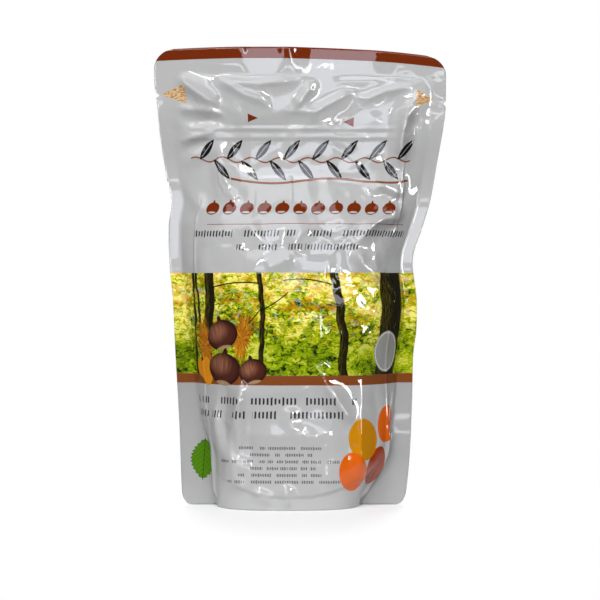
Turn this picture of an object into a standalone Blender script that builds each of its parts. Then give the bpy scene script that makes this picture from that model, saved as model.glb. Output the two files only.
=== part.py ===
"""A stand-up pouch of cooked chestnuts: one sealed film bag, filled, standing on its gusset.

The pouch is one closed skin. Rows of points run up the bag, columns run across it from
side seal to side seal, once for the front panel and once for the back panel. The gusset
closes the underside. Metres, +Z up, front panel towards -Y, origin on the surface the
pouch stands on, below the middle of its bounding box.
"""

import math
import random

import bmesh
import bpy

# Driving sizes
FLAT_WIDTH = 0.180          # the pouch laid flat, from edge to edge of its side seals
HEIGHT = 0.283              # standing, floor to the top edge
FILL_DEPTH = 0.030          # how far each panel stands out from the middle near the base
FOOT_DEPTH = 0.032          # the same, at the bottom edge of the panel
SEAL_WIDTH = 0.0075         # each side seal
SEAL_HALF = 0.0006          # half the thickness of the sealed edge
TOP_SEAL_HEIGHT = 0.0155    # the flat seal along the top
TOP_CORNER = 0.0120         # radius of the two top corners
FOOT_CORNER_WIDE = 0.0055   # the bottom corners, cut round
FOOT_CORNER_HIGH = 0.0090

# Side edges: how far the left and right edge stand from the middle, by height above the
# floor. The filled part pulls the edges in, and they flare to the flat width at the top.
LEFT_EDGE = (
    (0.000, 0.0730), (0.040, 0.0745), (0.090, 0.0770), (0.127, 0.0785), (0.146, 0.0803),
    (0.172, 0.0813), (0.188, 0.0795), (0.202, 0.0826), (0.226, 0.0863), (0.252, 0.0888),
    (0.262, FLAT_WIDTH / 2), (HEIGHT, FLAT_WIDTH / 2),
)
RIGHT_EDGE = (
    (0.000, 0.0650), (0.028, 0.0677), (0.065, 0.0696), (0.094, 0.0703), (0.108, 0.0720),
    (0.128, 0.0720), (0.148, 0.0696), (0.157, 0.0706), (0.170, 0.0752), (0.188, 0.0807),
    (0.213, 0.0851), (0.238, 0.0892), (0.252, FLAT_WIDTH / 2), (HEIGHT, FLAT_WIDTH / 2),
)
# Each side seam wanders out of the middle plane as a wave: size, start height, wave length
LEFT_SWAY = (0.0034, 0.020, 0.150)
RIGHT_SWAY = (-0.0030, -0.012, 0.118)

# How much of FILL_DEPTH each panel keeps, by height: full over the chestnuts, nearly
# closed at the zip, and flat in the top seal.
FILL_BY_HEIGHT = (
    (0.000, 1.00), (0.040, 1.02), (0.080, 0.95), (0.120, 0.88), (0.150, 0.79),
    (0.176, 0.60), (0.198, 0.38), (0.214, 0.21), (0.226, 0.115), (0.236, 0.090),
    (0.250, 0.050), (0.262, 0.018), (HEIGHT - TOP_SEAL_HEIGHT, 0.0), (HEIGHT, 0.0),
)
# Across the body the depth falls off as (1 - |t|^power)^root: blunter at the foot
BODY_POWER, BODY_ROOT = 3.3, 1 / 1.08
FOOT_POWER, FOOT_ROOT = 2.6, 1 / 2.60
FOOT_FORM_HEIGHT = 0.085

# The flat edge beside the body, by height: the side seal, and near the floor the wings, where
# front, back and gusset are all sealed together. The right wing is the wider one.
LEFT_FLAT = (
    (0.000, 0.0215), (0.030, 0.0200), (0.048, 0.0152), (0.072, 0.0122), (0.100, 0.0092),
    (0.130, SEAL_WIDTH), (0.150, SEAL_WIDTH), (HEIGHT, SEAL_WIDTH),
)
RIGHT_FLAT = (
    (0.000, 0.0285), (0.012, 0.0250), (0.030, 0.0155), (0.054, 0.0115), (0.100, 0.0090),
    (0.130, SEAL_WIDTH), (0.150, SEAL_WIDTH), (HEIGHT, SEAL_WIDTH),
)

# Bottom seal: the seal line of the gusset is a shallow U across each panel
SEAL_LINE_LOW = 0.0073
SEAL_LINE_RISE = 0.0150
SEAL_LINE_POWER = 2.5
SEAL_LINE_STEP = 0.0012     # the film stands out this far above the line
SEAL_LINE_FADE = 0.0060

# Zip: two ribs pressed through the film
ZIP_RIBS = (0.2270, 0.2325)
ZIP_RIB_HEIGHT = 0.0011
ZIP_RIB_HALF = 0.0013

# Tear notches in the side seals: height of the left and of the right one
NOTCH_LEFT = 0.2533
NOTCH_RIGHT = 0.2480
NOTCH_DEEP = 0.0030
NOTCH_HALF = 0.0014

# Chestnuts that press through the film as low bumps
NUT_PITCH_ACROSS = 0.0290
NUT_PITCH_UP = 0.0250
NUT_RADIUS = 0.0165
NUT_RELIEF = 0.0015
NUTS_TOP = 0.192
NUT_SHIFT = (0.006, 0.005)  # the most that a nut is off its place, across and up
NUT_SIZES = (0.80, 1.15)    # smallest and largest share of the radius
NUT_PRESS = (0.4, 1.4)      # smallest and largest share of the relief
NUT_SEEDS = {"front": 11, "back": 29}

# Underside: a skirt all round, a groove inside it, and the gusset resting flat in the middle
SKIRT = 0.0013
GROOVE_SHAPE = ((SKIRT, 0.0), (0.0034, 0.0046), (0.0075, 0.0026), (0.0130, 0.0))
GROOVE_FULL_DEPTH = 0.0155

BODY_COLUMNS = 28

# Top: the unfilled part bows as a wave of this size, place and length, and leans forward.
# The top edge drops towards its ends: drop, start and reach of the left and right parabola.
TOP_WAVE = (0.0022, 0.012, 0.155)
TOP_LEAN = 0.0015
TOP_FREE_FROM = 0.215
TOP_DROP_LEFT = (0.0014, -0.022, 0.060)
TOP_DROP_RIGHT = (0.0016, 0.035, 0.045)

# Main folds of the film, as (x, z) ends, half width and height; + stands out
FRONT_FOLDS = (
    ((-0.0535, 0.042), (-0.0590, 0.100), 0.0050, -0.0020),
    ((0.0430, 0.030), (0.0530, 0.094), 0.0050, -0.0018),
    ((0.0630, 0.196), (0.0640, 0.244), 0.0055, 0.0030),
    ((0.0330, 0.178), (0.0560, 0.160), 0.0060, 0.0022),
    ((0.0480, 0.196), (0.0270, 0.176), 0.0060, 0.0020),
    ((-0.0560, 0.196), (-0.0300, 0.168), 0.0065, 0.0018),
    ((-0.0700, 0.232), (-0.0480, 0.205), 0.0060, 0.0022),
    ((-0.0550, 0.268), (-0.0150, 0.244), 0.0060, 0.0014),
    ((0.0050, 0.262), (-0.0130, 0.244), 0.0060, 0.0014),
    ((0.0600, 0.264), (0.0080, 0.243), 0.0060, 0.0014),
    ((0.0140, 0.090), (0.0330, 0.058), 0.0055, 0.0016),
)
BACK_FOLDS = (
    ((-0.0520, 0.036), (-0.0570, 0.096), 0.0050, -0.0020),
    ((0.0440, 0.034), (0.0550, 0.102), 0.0050, -0.0020),
    ((-0.0620, 0.192), (-0.0630, 0.240), 0.0055, 0.0026),
    ((-0.0480, 0.190), (-0.0250, 0.165), 0.0060, 0.0020),
    ((0.0560, 0.200), (0.0300, 0.172), 0.0060, 0.0022),
    ((0.0500, 0.266), (0.0000, 0.244), 0.0060, 0.0014),
    ((-0.0600, 0.262), (-0.0250, 0.244), 0.0060, 0.0014),
    ((-0.0200, 0.110), (0.0080, 0.080), 0.0055, 0.0015),
)

LAMINATE_COLOUR = (0.58, 0.57, 0.55, 1.0)
LAMINATE_ROUGHNESS = 0.28


def ease(share):
    """0 below 0, 1 above 1, and an S-curve between."""
    share = min(1.0, max(0.0, share))
    return share * share * (3.0 - 2.0 * share)


def along(table, height):
    """The value of a table of (height, value) rows, eased from row to row by their slopes."""
    last = len(table) - 1
    index = 0
    while index < last - 1 and height > table[index + 1][0]:
        index += 1

    def slope(row):
        low, high = table[max(row - 1, 0)], table[min(row + 1, last)]
        return (high[1] - low[1]) / (high[0] - low[0])

    (z0, v0), (z1, v1) = table[index], table[index + 1]
    span = z1 - z0
    t = min(1.0, max(0.0, (height - z0) / span))
    return (
        v0 * (1 + 2 * t) * (1 - t) ** 2
        + v1 * t * t * (3 - 2 * t)
        + span * (slope(index) * t * (1 - t) ** 2 - slope(index + 1) * t * t * (1 - t))
    )


def top_corner_cut(height):
    """How far the round top corners take the side edge in at this height."""
    above = max(0.0, height - (HEIGHT - TOP_CORNER))
    return TOP_CORNER - math.sqrt(max(0.0, TOP_CORNER**2 - above**2))


def foot_corner_cut(height):
    """How far the round bottom corners take the side edge in at this height."""
    below = min(1.0, max(0.0, 1.0 - height / FOOT_CORNER_HIGH))
    return FOOT_CORNER_WIDE * (1.0 - math.sqrt(1.0 - below**2))


def notch_cut(height, notch):
    """Depth of a V-shaped tear notch at this height."""
    return NOTCH_DEEP * max(0.0, 1.0 - abs(height - notch) / NOTCH_HALF)


def side_edges(height):
    """x of the left and of the right edge, corners rounded, notches left out."""
    cut = top_corner_cut(height) + foot_corner_cut(height)
    return cut - along(LEFT_EDGE, height), along(RIGHT_EDGE, height) - cut


def body_sides(height):
    """x of the left and of the right side of the filled body, inside the flat edges."""
    left, right = side_edges(height)
    foot = foot_corner_cut(height)
    return left - foot + along(LEFT_FLAT, height), right + foot - along(RIGHT_FLAT, height)


def seam_sway(height):
    """How far the left and the right seam wander out of the middle plane, towards the back."""
    hold = ease(height / 0.05) * ease((0.258 - height) / 0.05)
    return tuple(
        hold * size * math.sin(2 * math.pi * (height - start) / length)
        for size, start, length in (LEFT_SWAY, RIGHT_SWAY)
    )


def top_wave(x, height):
    """The unfilled top of the pouch bows gently in depth."""
    free = ease((height - TOP_FREE_FROM) / 0.060)
    size, start, length = TOP_WAVE
    return free * (size * math.sin(2 * math.pi * (x - start) / length) - TOP_LEAN)


def top_edge_height(x):
    """The top edge is a little lower towards its ends, most at the right."""
    (drop_left, from_left, reach_left), (drop_right, from_right, reach_right) = (
        TOP_DROP_LEFT, TOP_DROP_RIGHT
    )
    left = drop_left * ((x - from_left) / reach_left) ** 2
    right = drop_right * max(0.0, (x - from_right) / reach_right) ** 2
    return HEIGHT - left - right


def lifted(x, height):
    """Height of a row's point at x: rows above the zip follow the curve of the top edge."""
    start = ZIP_RIBS[-1] + 0.004
    share = max(0.0, (height - start) / (HEIGHT - start))
    return height - share * (HEIGHT - top_edge_height(x))


def swell(t, height):
    """Share of the full depth at t, from -1 at one side of the body to 1 at the other."""
    foot = 1.0 - ease(height / FOOT_FORM_HEIGHT)
    power = BODY_POWER + (FOOT_POWER - BODY_POWER) * foot
    root = 1.0 / (1 / BODY_ROOT + (1 / FOOT_ROOT - 1 / BODY_ROOT) * foot)
    return max(0.0, 1.0 - abs(t) ** power) ** root


def seal_line_step(t, height):
    """The film stands out by a small step above the curved seal line of the gusset."""
    line = SEAL_LINE_LOW + SEAL_LINE_RISE * abs(t) ** SEAL_LINE_POWER
    fade = 1.0 - ease((height - 0.09) / 0.08)
    return SEAL_LINE_STEP * ease((height - line) / SEAL_LINE_FADE) * fade


def zip_ribs(height):
    """Two round ribs across the panel."""
    ribs = (max(0.0, 1.0 - ((height - rib) / ZIP_RIB_HALF) ** 2) for rib in ZIP_RIBS)
    return ZIP_RIB_HEIGHT * sum(ribs)


def nut_places(panel):
    """Centres of the chestnuts that press on a panel: staggered rows, shifted at random."""
    draw = random.Random(NUT_SEEDS[panel])
    places = []
    rows = int(NUTS_TOP / NUT_PITCH_UP)
    for row in range(rows):
        count = 4 if row % 2 else 3
        for column in range(count):
            x = (column - (count - 1) / 2) * NUT_PITCH_ACROSS - 0.004
            z = 0.024 + row * NUT_PITCH_UP
            shift_x, shift_z = (draw.uniform(-most, most) for most in NUT_SHIFT)
            size, press = draw.uniform(*NUT_SIZES), draw.uniform(*NUT_PRESS)
            places.append((x + shift_x, z + shift_z, NUT_RADIUS * size, press))
    return places


def nut_relief(x, height, places):
    """Height of the bumps: the highest nut at this place, rounded like a cap."""
    best = 0.0
    for nut_x, nut_z, radius, press in places:
        away = ((x - nut_x) ** 2 + (height - nut_z) ** 2) / radius**2
        if away < 1.0:
            best = max(best, press * (1.0 - away) ** 0.8)
    return NUT_RELIEF * best * ease(height / 0.03)


def fold_relief(x, height, folds):
    """Sum of tent-shaped folds, each along a line that fades at its two ends."""
    total = 0.0
    for (x0, z0), (x1, z1), half, tall in folds:
        run_x, run_z = x1 - x0, z1 - z0
        length = math.hypot(run_x, run_z)
        share = ((x - x0) * run_x + (height - z0) * run_z) / length**2
        away = abs((x - x0) * run_z - (height - z0) * run_x) / length
        if 0.0 < share < 1.0 and away < half:
            total += tall * (1.0 - away / half) * math.sin(math.pi * share)
    return total


def panel_point(t, height, panel, places, folds):
    """A point of a panel's body at t across and this height up."""
    body_left, body_right = body_sides(height)
    x = (body_left + body_right) / 2 + (body_right - body_left) / 2 * t
    shape = swell(t, height)
    deep = (
        (FILL_DEPTH * along(FILL_BY_HEIGHT, height) + (FOOT_DEPTH - FILL_DEPTH)
         * (1.0 - ease(height / 0.03)) + seal_line_step(t, height)) * shape
    )
    inside = ease((1.0 - abs(t)) / 0.22)
    relief = inside * (
        nut_relief(x, height, places) * ease((0.205 - height) / 0.03)
        + fold_relief(x, height, folds)
    )
    closing = ease((HEIGHT - TOP_SEAL_HEIGHT - height) / 0.008)
    rib = zip_ribs(height) * ease((1.0 - abs(t)) / 0.04)
    side = -1.0 if panel == "front" else 1.0
    sway_left, sway_right = seam_sway(height)
    reach_left, reach_right = ((1.0 - t) / 2) ** 2, ((1.0 + t) / 2) ** 2
    middle_y = sway_left * reach_left + sway_right * reach_right + top_wave(x, height)
    y = middle_y + side * (SEAL_HALF + deep + relief * closing + rib)
    return x, y, lifted(x, height)


def edge_point(outer, height, panel):
    """A point on the outer edge of a side seal, at the left (-1) or right (1)."""
    left, right = side_edges(height)
    sway_left, sway_right = seam_sway(height)
    if outer < 0:
        x, sway = left + notch_cut(height, NOTCH_LEFT), sway_left
    else:
        x, sway = right - notch_cut(height, NOTCH_RIGHT), sway_right
    side = -1.0 if panel == "front" else 1.0
    return x, sway + top_wave(x, height) + side * SEAL_HALF, lifted(x, height)


def panel_row(height, panel, places, folds):
    """All points of one row of a panel, left edge to right edge."""
    row = [edge_point(-1, height, panel)]
    for column in range(-BODY_COLUMNS // 2, BODY_COLUMNS // 2 + 1):
        t = math.sin(math.pi / 2 * column / (BODY_COLUMNS / 2))
        row.append(panel_point(t, height, panel, places, folds))
    row.append(edge_point(1, height, panel))
    return row


def row_heights():
    """Heights of the rows: even over the body, closer at the corners, zip and notches."""
    heights = [0.0, 0.0015, 0.0040, 0.0068]
    heights += [FOOT_CORNER_HIGH + 0.0066 * step for step in range(33)]
    for rib in ZIP_RIBS:
        heights += [rib + ZIP_RIB_HALF * step for step in (-1.0, -0.5, 0.0, 0.5, 1.0)]
    for notch in (NOTCH_RIGHT, NOTCH_LEFT):
        heights += [notch - NOTCH_HALF, notch, notch + NOTCH_HALF]
    heights += [0.2385, 0.2430, 0.2590, 0.2635, HEIGHT - TOP_SEAL_HEIGHT]
    corner_start = HEIGHT - TOP_CORNER
    heights += [corner_start + TOP_CORNER * math.sin(math.radians(a)) for a in (0, 25, 48, 68, 90)]
    return sorted(heights)


def groove(from_skirt, half):
    """Height of the underside at a distance in from the panel, shallower where it is narrow."""
    room = min(1.0, half / GROOVE_FULL_DEPTH)
    for (d0, z0), (d1, z1) in zip(GROOVE_SHAPE, GROOVE_SHAPE[1:]):
        if d0 * room <= from_skirt <= d1 * room:
            share = (from_skirt - d0 * room) / max(1e-9, (d1 - d0) * room)
            return (z0 + (z1 - z0) * share) * room**2
    return 0.0


def underside_rows(front, back):
    """Rows of points across the underside, between the lowest rows of the two bodies."""
    steps = [distance for distance, _ in GROOVE_SHAPE]
    rows = []
    for step in (*steps, None, *reversed(steps)):
        from_front = len(rows) <= len(steps)
        row = []
        for (x, front_y, _), (_, back_y, _) in zip(front, back):
            half = (back_y - front_y) / 2
            inward = half if step is None else step * min(1.0, half / GROOVE_FULL_DEPTH)
            y = front_y + inward if from_front else back_y - inward
            row.append((x, y, 0.0 if step is None else groove(inward, half)))
        rows.append(row)
    return rows


def skin(mesh, rows):
    """Quads between neighbouring rows and columns."""
    for low, high in zip(rows, rows[1:]):
        for column in range(len(low) - 1):
            mesh.faces.new((low[column], low[column + 1], high[column + 1], high[column]))


def close_wing(mesh, front_end, back_end, line):
    """Triangles from the two thin corners of a wing to the first line across the underside."""
    middle = len(line) // 2
    for index in range(len(line) - 1):
        corner = front_end if index < middle else back_end
        mesh.faces.new((corner, line[index], line[index + 1]))
    mesh.faces.new((front_end, line[middle], back_end))


def build_mesh():
    """The whole skin: two panels, the thin edges between them, and the underside."""
    mesh = bmesh.new()
    sheets = []
    for panel, folds in (("front", FRONT_FOLDS), ("back", BACK_FOLDS)):
        places = nut_places(panel)
        rows = [panel_row(height, panel, places, folds) for height in row_heights()]
        sheets.append([[mesh.verts.new(point) for point in row] for row in rows])
    front, back = sheets
    for sheet in sheets:
        skin(mesh, sheet)
    skin(mesh, [front[-1], back[-1]])
    for column in (0, -1):
        skin(mesh, [[pair[0][column], pair[1][column]] for pair in zip(front, back)])
    body = slice(2, -2)
    foot = [[vert.co[:] for vert in sheet[0][body]] for sheet in sheets]
    under = [[mesh.verts.new(point) for point in row] for row in underside_rows(*foot)]
    under = [front[0][body], *under, back[0][body]]
    skin(mesh, under)
    for ends, column in (((0, 1), 0), ((-1, -2), -1)):
        skin(mesh, [[front[0][end] for end in ends], [back[0][end] for end in ends]])
        line = [row[column] for row in under]
        close_wing(mesh, front[0][ends[1]], back[0][ends[1]], line)
    bmesh.ops.recalc_face_normals(mesh, faces=mesh.faces[:])
    bmesh.ops.triangulate(mesh, faces=mesh.faces[:])
    return mesh


def centre_on_box(mesh):
    """Moves the skin sideways so that the origin is below the middle of its box."""
    for axis in (0, 1):
        places = [vert.co[axis] for vert in mesh.verts]
        middle = (max(places) + min(places)) / 2
        for vert in mesh.verts:
            vert.co[axis] -= middle


def film_material():
    """Printed film laminate, pearl grey and glossy."""
    material = bpy.data.materials.new("film_laminate")
    material.use_nodes = True
    shader = material.node_tree.nodes["Principled BSDF"]
    shader.inputs["Base Color"].default_value = LAMINATE_COLOUR
    shader.inputs["Roughness"].default_value = LAMINATE_ROUGHNESS
    shader.inputs["Metallic"].default_value = 0.0
    return material


def main():
    """Clears the scene and leaves the one finished pouch in it."""
    for obj in list(bpy.data.objects):
        bpy.data.objects.remove(obj)
    shape = build_mesh()
    centre_on_box(shape)
    data = bpy.data.meshes.new("pouch")
    shape.to_mesh(data)
    shape.free()
    data.shade_smooth()
    data.set_sharp_from_angle(angle=math.radians(38))
    data.materials.append(film_material())
    pouch = bpy.data.objects.new("pouch", data)
    bpy.context.scene.collection.objects.link(pouch)


main()
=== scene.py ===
import inspect
import math

import bpy
import numpy as np
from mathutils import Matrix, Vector


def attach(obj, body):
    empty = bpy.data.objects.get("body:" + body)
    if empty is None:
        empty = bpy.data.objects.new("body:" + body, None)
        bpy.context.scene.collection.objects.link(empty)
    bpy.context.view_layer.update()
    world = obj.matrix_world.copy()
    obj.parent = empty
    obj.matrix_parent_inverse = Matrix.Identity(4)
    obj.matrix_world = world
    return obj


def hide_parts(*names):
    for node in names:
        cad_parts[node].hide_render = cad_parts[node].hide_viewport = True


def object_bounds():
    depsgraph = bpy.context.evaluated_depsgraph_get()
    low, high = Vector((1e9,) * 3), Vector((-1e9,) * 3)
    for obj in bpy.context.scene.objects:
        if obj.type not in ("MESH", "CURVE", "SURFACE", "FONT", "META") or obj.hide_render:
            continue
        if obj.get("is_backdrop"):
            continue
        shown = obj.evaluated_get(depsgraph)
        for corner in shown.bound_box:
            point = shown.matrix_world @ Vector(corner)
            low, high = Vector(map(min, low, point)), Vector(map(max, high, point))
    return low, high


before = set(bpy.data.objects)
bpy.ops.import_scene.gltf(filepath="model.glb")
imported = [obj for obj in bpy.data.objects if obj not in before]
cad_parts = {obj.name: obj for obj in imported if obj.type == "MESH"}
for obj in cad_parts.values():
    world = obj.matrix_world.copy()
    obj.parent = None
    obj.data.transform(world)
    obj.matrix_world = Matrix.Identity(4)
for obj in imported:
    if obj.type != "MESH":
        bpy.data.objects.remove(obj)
cad_low, cad_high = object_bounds()


# Camera: it looks at the front of the pouch from 1.2 m away, one degree above the level.
# The middle of the picture lies 126.8 mm above the floor, where one pixel is 0.619 mm.
PICTURE = 600
PIXEL = 0.0006186
CAMERA_AWAY = 1.2
CAMERA_UP = math.radians(1.0)
AIM = Vector((0.0, 0.0, 0.1268))

camera = bpy.data.objects.new("camera", bpy.data.cameras.new("camera"))
bpy.context.scene.collection.objects.link(camera)
camera.data.sensor_width = 36.0
camera.data.lens = camera.data.sensor_width * CAMERA_AWAY / (PICTURE * PIXEL)
towards = Vector((0.0, -math.cos(CAMERA_UP), math.sin(CAMERA_UP)))
camera.location = AIM + CAMERA_AWAY * towards
camera.rotation_euler = (-towards).to_track_quat("-Z", "Y").to_euler()
bpy.context.scene.camera = camera
bpy.context.scene.view_settings.view_transform = "Standard"


# Floor: a disc whose middle is a white table top of matt paper, which catches the soft shadow of
# the pouch. It fades into a room that the camera sees white, so no edge shows, but that is dim
# for the film.
FLOOR_RADIUS = 8.0
FLOOR_FADE = (0.03, 0.24)
FLOOR_WHITE = 0.88
ROOM_WHITE = (1.0, 1.0, 1.0, 1.0)
ROOM_DIM = (0.09, 0.09, 0.09, 1.0)
SIDES = 96


def room_colour(tree):
    """White where the camera looks straight at it, and dim for light and mirror images."""
    seen = tree.nodes.new("ShaderNodeLightPath")
    tint = tree.nodes.new("ShaderNodeMix")
    tint.data_type = "RGBA"
    tint.inputs["A"].default_value = ROOM_DIM
    tint.inputs["B"].default_value = ROOM_WHITE
    tree.links.new(seen.outputs["Is Camera Ray"], tint.inputs["Factor"])
    return tint.outputs["Result"]


angles = np.linspace(0.0, 2 * np.pi, SIDES, endpoint=False)
rim = np.stack([np.cos(angles), np.sin(angles), np.zeros(SIDES)], 1) * FLOOR_RADIUS
floor_mesh = bpy.data.meshes.new("floor")
floor_mesh.from_pydata(rim.tolist(), [], [list(range(SIDES))])
floor = bpy.data.objects.new("floor", floor_mesh)
bpy.context.scene.collection.objects.link(floor)
paper = bpy.data.materials.new("white_paper")
paper.use_nodes = True
nodes, links = paper.node_tree.nodes, paper.node_tree.links
matt = nodes["Principled BSDF"]
matt.inputs["Base Color"].default_value = (FLOOR_WHITE, FLOOR_WHITE, FLOOR_WHITE, 1.0)
matt.inputs["Roughness"].default_value = 0.9
matt.inputs["Specular IOR Level"].default_value = 0.1
glow = nodes.new("ShaderNodeEmission")
links.new(room_colour(paper.node_tree), glow.inputs["Color"])
place = nodes.new("ShaderNodeTexCoord")
length = nodes.new("ShaderNodeVectorMath")
length.operation = "LENGTH"
links.new(place.outputs["Object"], length.inputs[0])
fade = nodes.new("ShaderNodeMapRange")
fade.interpolation_type = "SMOOTHSTEP"
fade.inputs["From Min"].default_value = FLOOR_FADE[0]
fade.inputs["From Max"].default_value = FLOOR_FADE[1]
links.new(length.outputs["Value"], fade.inputs["Value"])
join = nodes.new("ShaderNodeMixShader")
links.new(fade.outputs["Result"], join.inputs[0])
links.new(matt.outputs[0], join.inputs[1])
links.new(glow.outputs[0], join.inputs[2])
links.new(join.outputs[0], nodes["Material Output"].inputs["Surface"])
floor_mesh.materials.append(paper)
floor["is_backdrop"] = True


# Studio: the room is dim but for its white backdrop. Soft windows, a ceiling panel and small
# bright lamps stand in front of the pouch, and the film mirrors them in its creases. Two more
# light it from behind.
LAMP_TARGET = Vector((0.0, 0.0, 0.16))
# place, width, height, brightness, colour, and what it does: it lights the pouch, shows as a
# mirror image in the film, or both
LAMPS = (
    ((0.00, -1.45, 0.60), 0.70, 0.26, 5.0, (0.86, 0.89, 1.00), "both"),
    ((-0.45, -1.10, 1.45), 1.20, 0.80, 3.0, (0.94, 0.95, 1.00), "both"),
    ((0.05, -1.20, 0.95), 0.60, 0.20, 5.5, (0.86, 0.89, 1.00), "both"),
    ((-0.30, -1.50, 0.50), 0.90, 0.70, 6.4, (1.00, 0.99, 0.98), "light"),
    ((0.45, -1.00, 1.05), 0.34, 0.26, 26.0, (1.00, 1.00, 1.00), "light"),
    ((-0.45, -1.00, 1.05), 0.34, 0.26, 20.0, (1.00, 1.00, 1.00), "light"),
    ((0.00, -1.50, 0.38), 0.60, 0.03, 6.0, (0.90, 0.92, 1.00), "mirror"),
    ((0.30, -1.42, 0.34), 0.03, 0.50, 12.0, (0.98, 0.98, 1.00), "mirror"),
    ((0.45, -1.00, 1.05), 0.34, 0.26, 36.0, (1.00, 1.00, 1.00), "mirror"),
    ((0.50, -1.30, 0.42), 0.20, 0.14, 34.0, (1.00, 1.00, 1.00), "mirror"),
    ((1.15, -0.95, 0.95), 0.40, 0.60, 34.0, (1.00, 1.00, 1.00), "mirror"),
    ((1.25, -0.80, 0.35), 0.16, 0.50, 26.0, (1.00, 1.00, 1.00), "mirror"),
    ((-0.28, -1.20, 0.80), 0.20, 0.12, 24.0, (1.00, 0.97, 0.90), "mirror"),
    ((0.00, 0.90, 1.50), 1.00, 0.60, 12.0, (1.00, 1.00, 1.00), "both"),
    ((0.30, 1.50, 0.50), 0.90, 0.70, 5.0, (1.00, 1.00, 1.00), "light"),
)

room = bpy.data.worlds.new("room")
bpy.context.scene.world = room
room.use_nodes = True
backdrop = room.node_tree.nodes["Background"]
room.node_tree.links.new(room_colour(room.node_tree), backdrop.inputs["Color"])

for number, (where, wide, high, bright, colour, does) in enumerate(LAMPS):
    lamp = bpy.data.lights.new(f"lamp_{number}", "AREA")
    lamp.shape = "RECTANGLE"
    lamp.size, lamp.size_y = wide, high
    lamp.energy, lamp.color = bright * math.pi * wide * high, colour
    lamp_object = bpy.data.objects.new(lamp.name, lamp)
    bpy.context.scene.collection.objects.link(lamp_object)
    lamp_object.location = where
    lamp_object.visible_glossy = does != "light"
    lamp_object.visible_diffuse = does != "mirror"
    lamp_object.rotation_euler = (LAMP_TARGET - Vector(where)).to_track_quat("-Z", "Y").to_euler()


# Film panels: front and back are cut alike from one flat laminate, 180 mm wide, and sealed
# together along the sides and the top. Each is laid out here over the plain body of the
# pouch, by the same outline as the frame's solid, before it is let go and creases.
FLAT_WIDTH = 0.180
FILM_HEIGHT = 0.2862
HEIGHT = 0.283
FILL_DEPTH = 0.030
FOOT_DEPTH = 0.032
SEAL_WIDTH = 0.0075
SEAL_HALF = 0.0004
TOP_SEAL_HEIGHT = 0.0155
TOP_CORNER = 0.0120
FOOT_CORNER_WIDE = 0.0055
FOOT_CORNER_HIGH = 0.0090
# (height, width) rows of the flat edge on each side: side seal above, sealed wings below
LEFT_FLAT = (
    (0.000, 0.0215), (0.030, 0.0200), (0.048, 0.0152), (0.072, 0.0122), (0.100, 0.0092),
    (0.130, SEAL_WIDTH), (0.150, SEAL_WIDTH), (HEIGHT, SEAL_WIDTH),
)
RIGHT_FLAT = (
    (0.000, 0.0285), (0.012, 0.0250), (0.030, 0.0155), (0.054, 0.0115), (0.100, 0.0090),
    (0.130, SEAL_WIDTH), (0.150, SEAL_WIDTH), (HEIGHT, SEAL_WIDTH),
)
ZIP_RIBS = (0.2270, 0.2325)
# (height, value) rows: how far each side edge stands from the middle, and the share of the depth
LEFT_EDGE = (
    (0.000, 0.0730), (0.040, 0.0745), (0.090, 0.0770), (0.127, 0.0785), (0.146, 0.0803),
    (0.172, 0.0813), (0.188, 0.0795), (0.202, 0.0826), (0.226, 0.0863), (0.252, 0.0888),
    (0.262, 0.0900), (0.283, 0.0900),
)
RIGHT_EDGE = (
    (0.000, 0.0650), (0.028, 0.0677), (0.065, 0.0696), (0.094, 0.0703), (0.108, 0.0720),
    (0.128, 0.0720), (0.148, 0.0696), (0.157, 0.0706), (0.170, 0.0752), (0.188, 0.0807),
    (0.213, 0.0851), (0.238, 0.0892), (0.252, 0.0900), (0.283, 0.0900),
)
FILL_BY_HEIGHT = (
    (0.000, 1.00), (0.040, 1.02), (0.080, 0.95), (0.120, 0.88), (0.150, 0.79),
    (0.176, 0.60), (0.198, 0.38), (0.214, 0.21), (0.226, 0.115), (0.236, 0.090),
    (0.250, 0.050), (0.262, 0.018), (0.2675, 0.0), (0.283, 0.0),
)


def ease(share):
    """0 below 0, 1 above 1, and an S-curve between: 3 s squared less 2 s cubed."""
    share = np.clip(share, 0.0, 1.0)
    return share * share * (3.0 - 2.0 * share)


def along(table, height):
    """The value at a height: cubic from row to row of the table, with the rows' own slopes."""
    at, value = np.array(table).T
    last = len(at) - 1
    low = np.maximum(np.arange(last + 1) - 1, 0)
    high = np.minimum(np.arange(last + 1) + 1, last)
    slope = (value[high] - value[low]) / (at[high] - at[low])
    row = np.clip(np.searchsorted(at, height) - 1, 0, last - 1)
    span = at[row + 1] - at[row]
    t = np.clip((height - at[row]) / span, 0.0, 1.0)
    ends = value[row] * (1 + 2 * t) * (1 - t) ** 2 + value[row + 1] * t * t * (3 - 2 * t)
    return ends + span * (slope[row] * t * (1 - t) ** 2 - slope[row + 1] * t * t * (1 - t))


def foot_corner(height):
    """How far the round bottom corners take the side edge in: an ellipse's quarter."""
    below = np.clip(1.0 - height / FOOT_CORNER_HIGH, 0.0, 1.0)
    return FOOT_CORNER_WIDE * (1.0 - np.sqrt(1.0 - below**2))


def side_edges(height):
    """x of the left and the right edge: the two tables, less the quarter circles on top."""
    above = np.maximum(0.0, height - (HEIGHT - TOP_CORNER))
    cut = TOP_CORNER - np.sqrt(np.maximum(0.0, TOP_CORNER**2 - above**2)) + foot_corner(height)
    return cut - along(LEFT_EDGE, height), along(RIGHT_EDGE, height) - cut


def body_sides(height):
    """x of the left and the right side of the filled body, inside the flat edges."""
    left, right = side_edges(height)
    foot = foot_corner(height)
    return left - foot + along(LEFT_FLAT, height), right + foot - along(RIGHT_FLAT, height)


def across(x, height):
    """-1 at the left side of the body, 1 at its right side, and beyond that in the seals."""
    left, right = body_sides(height)
    return (2 * x - left - right) / (right - left)


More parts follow.
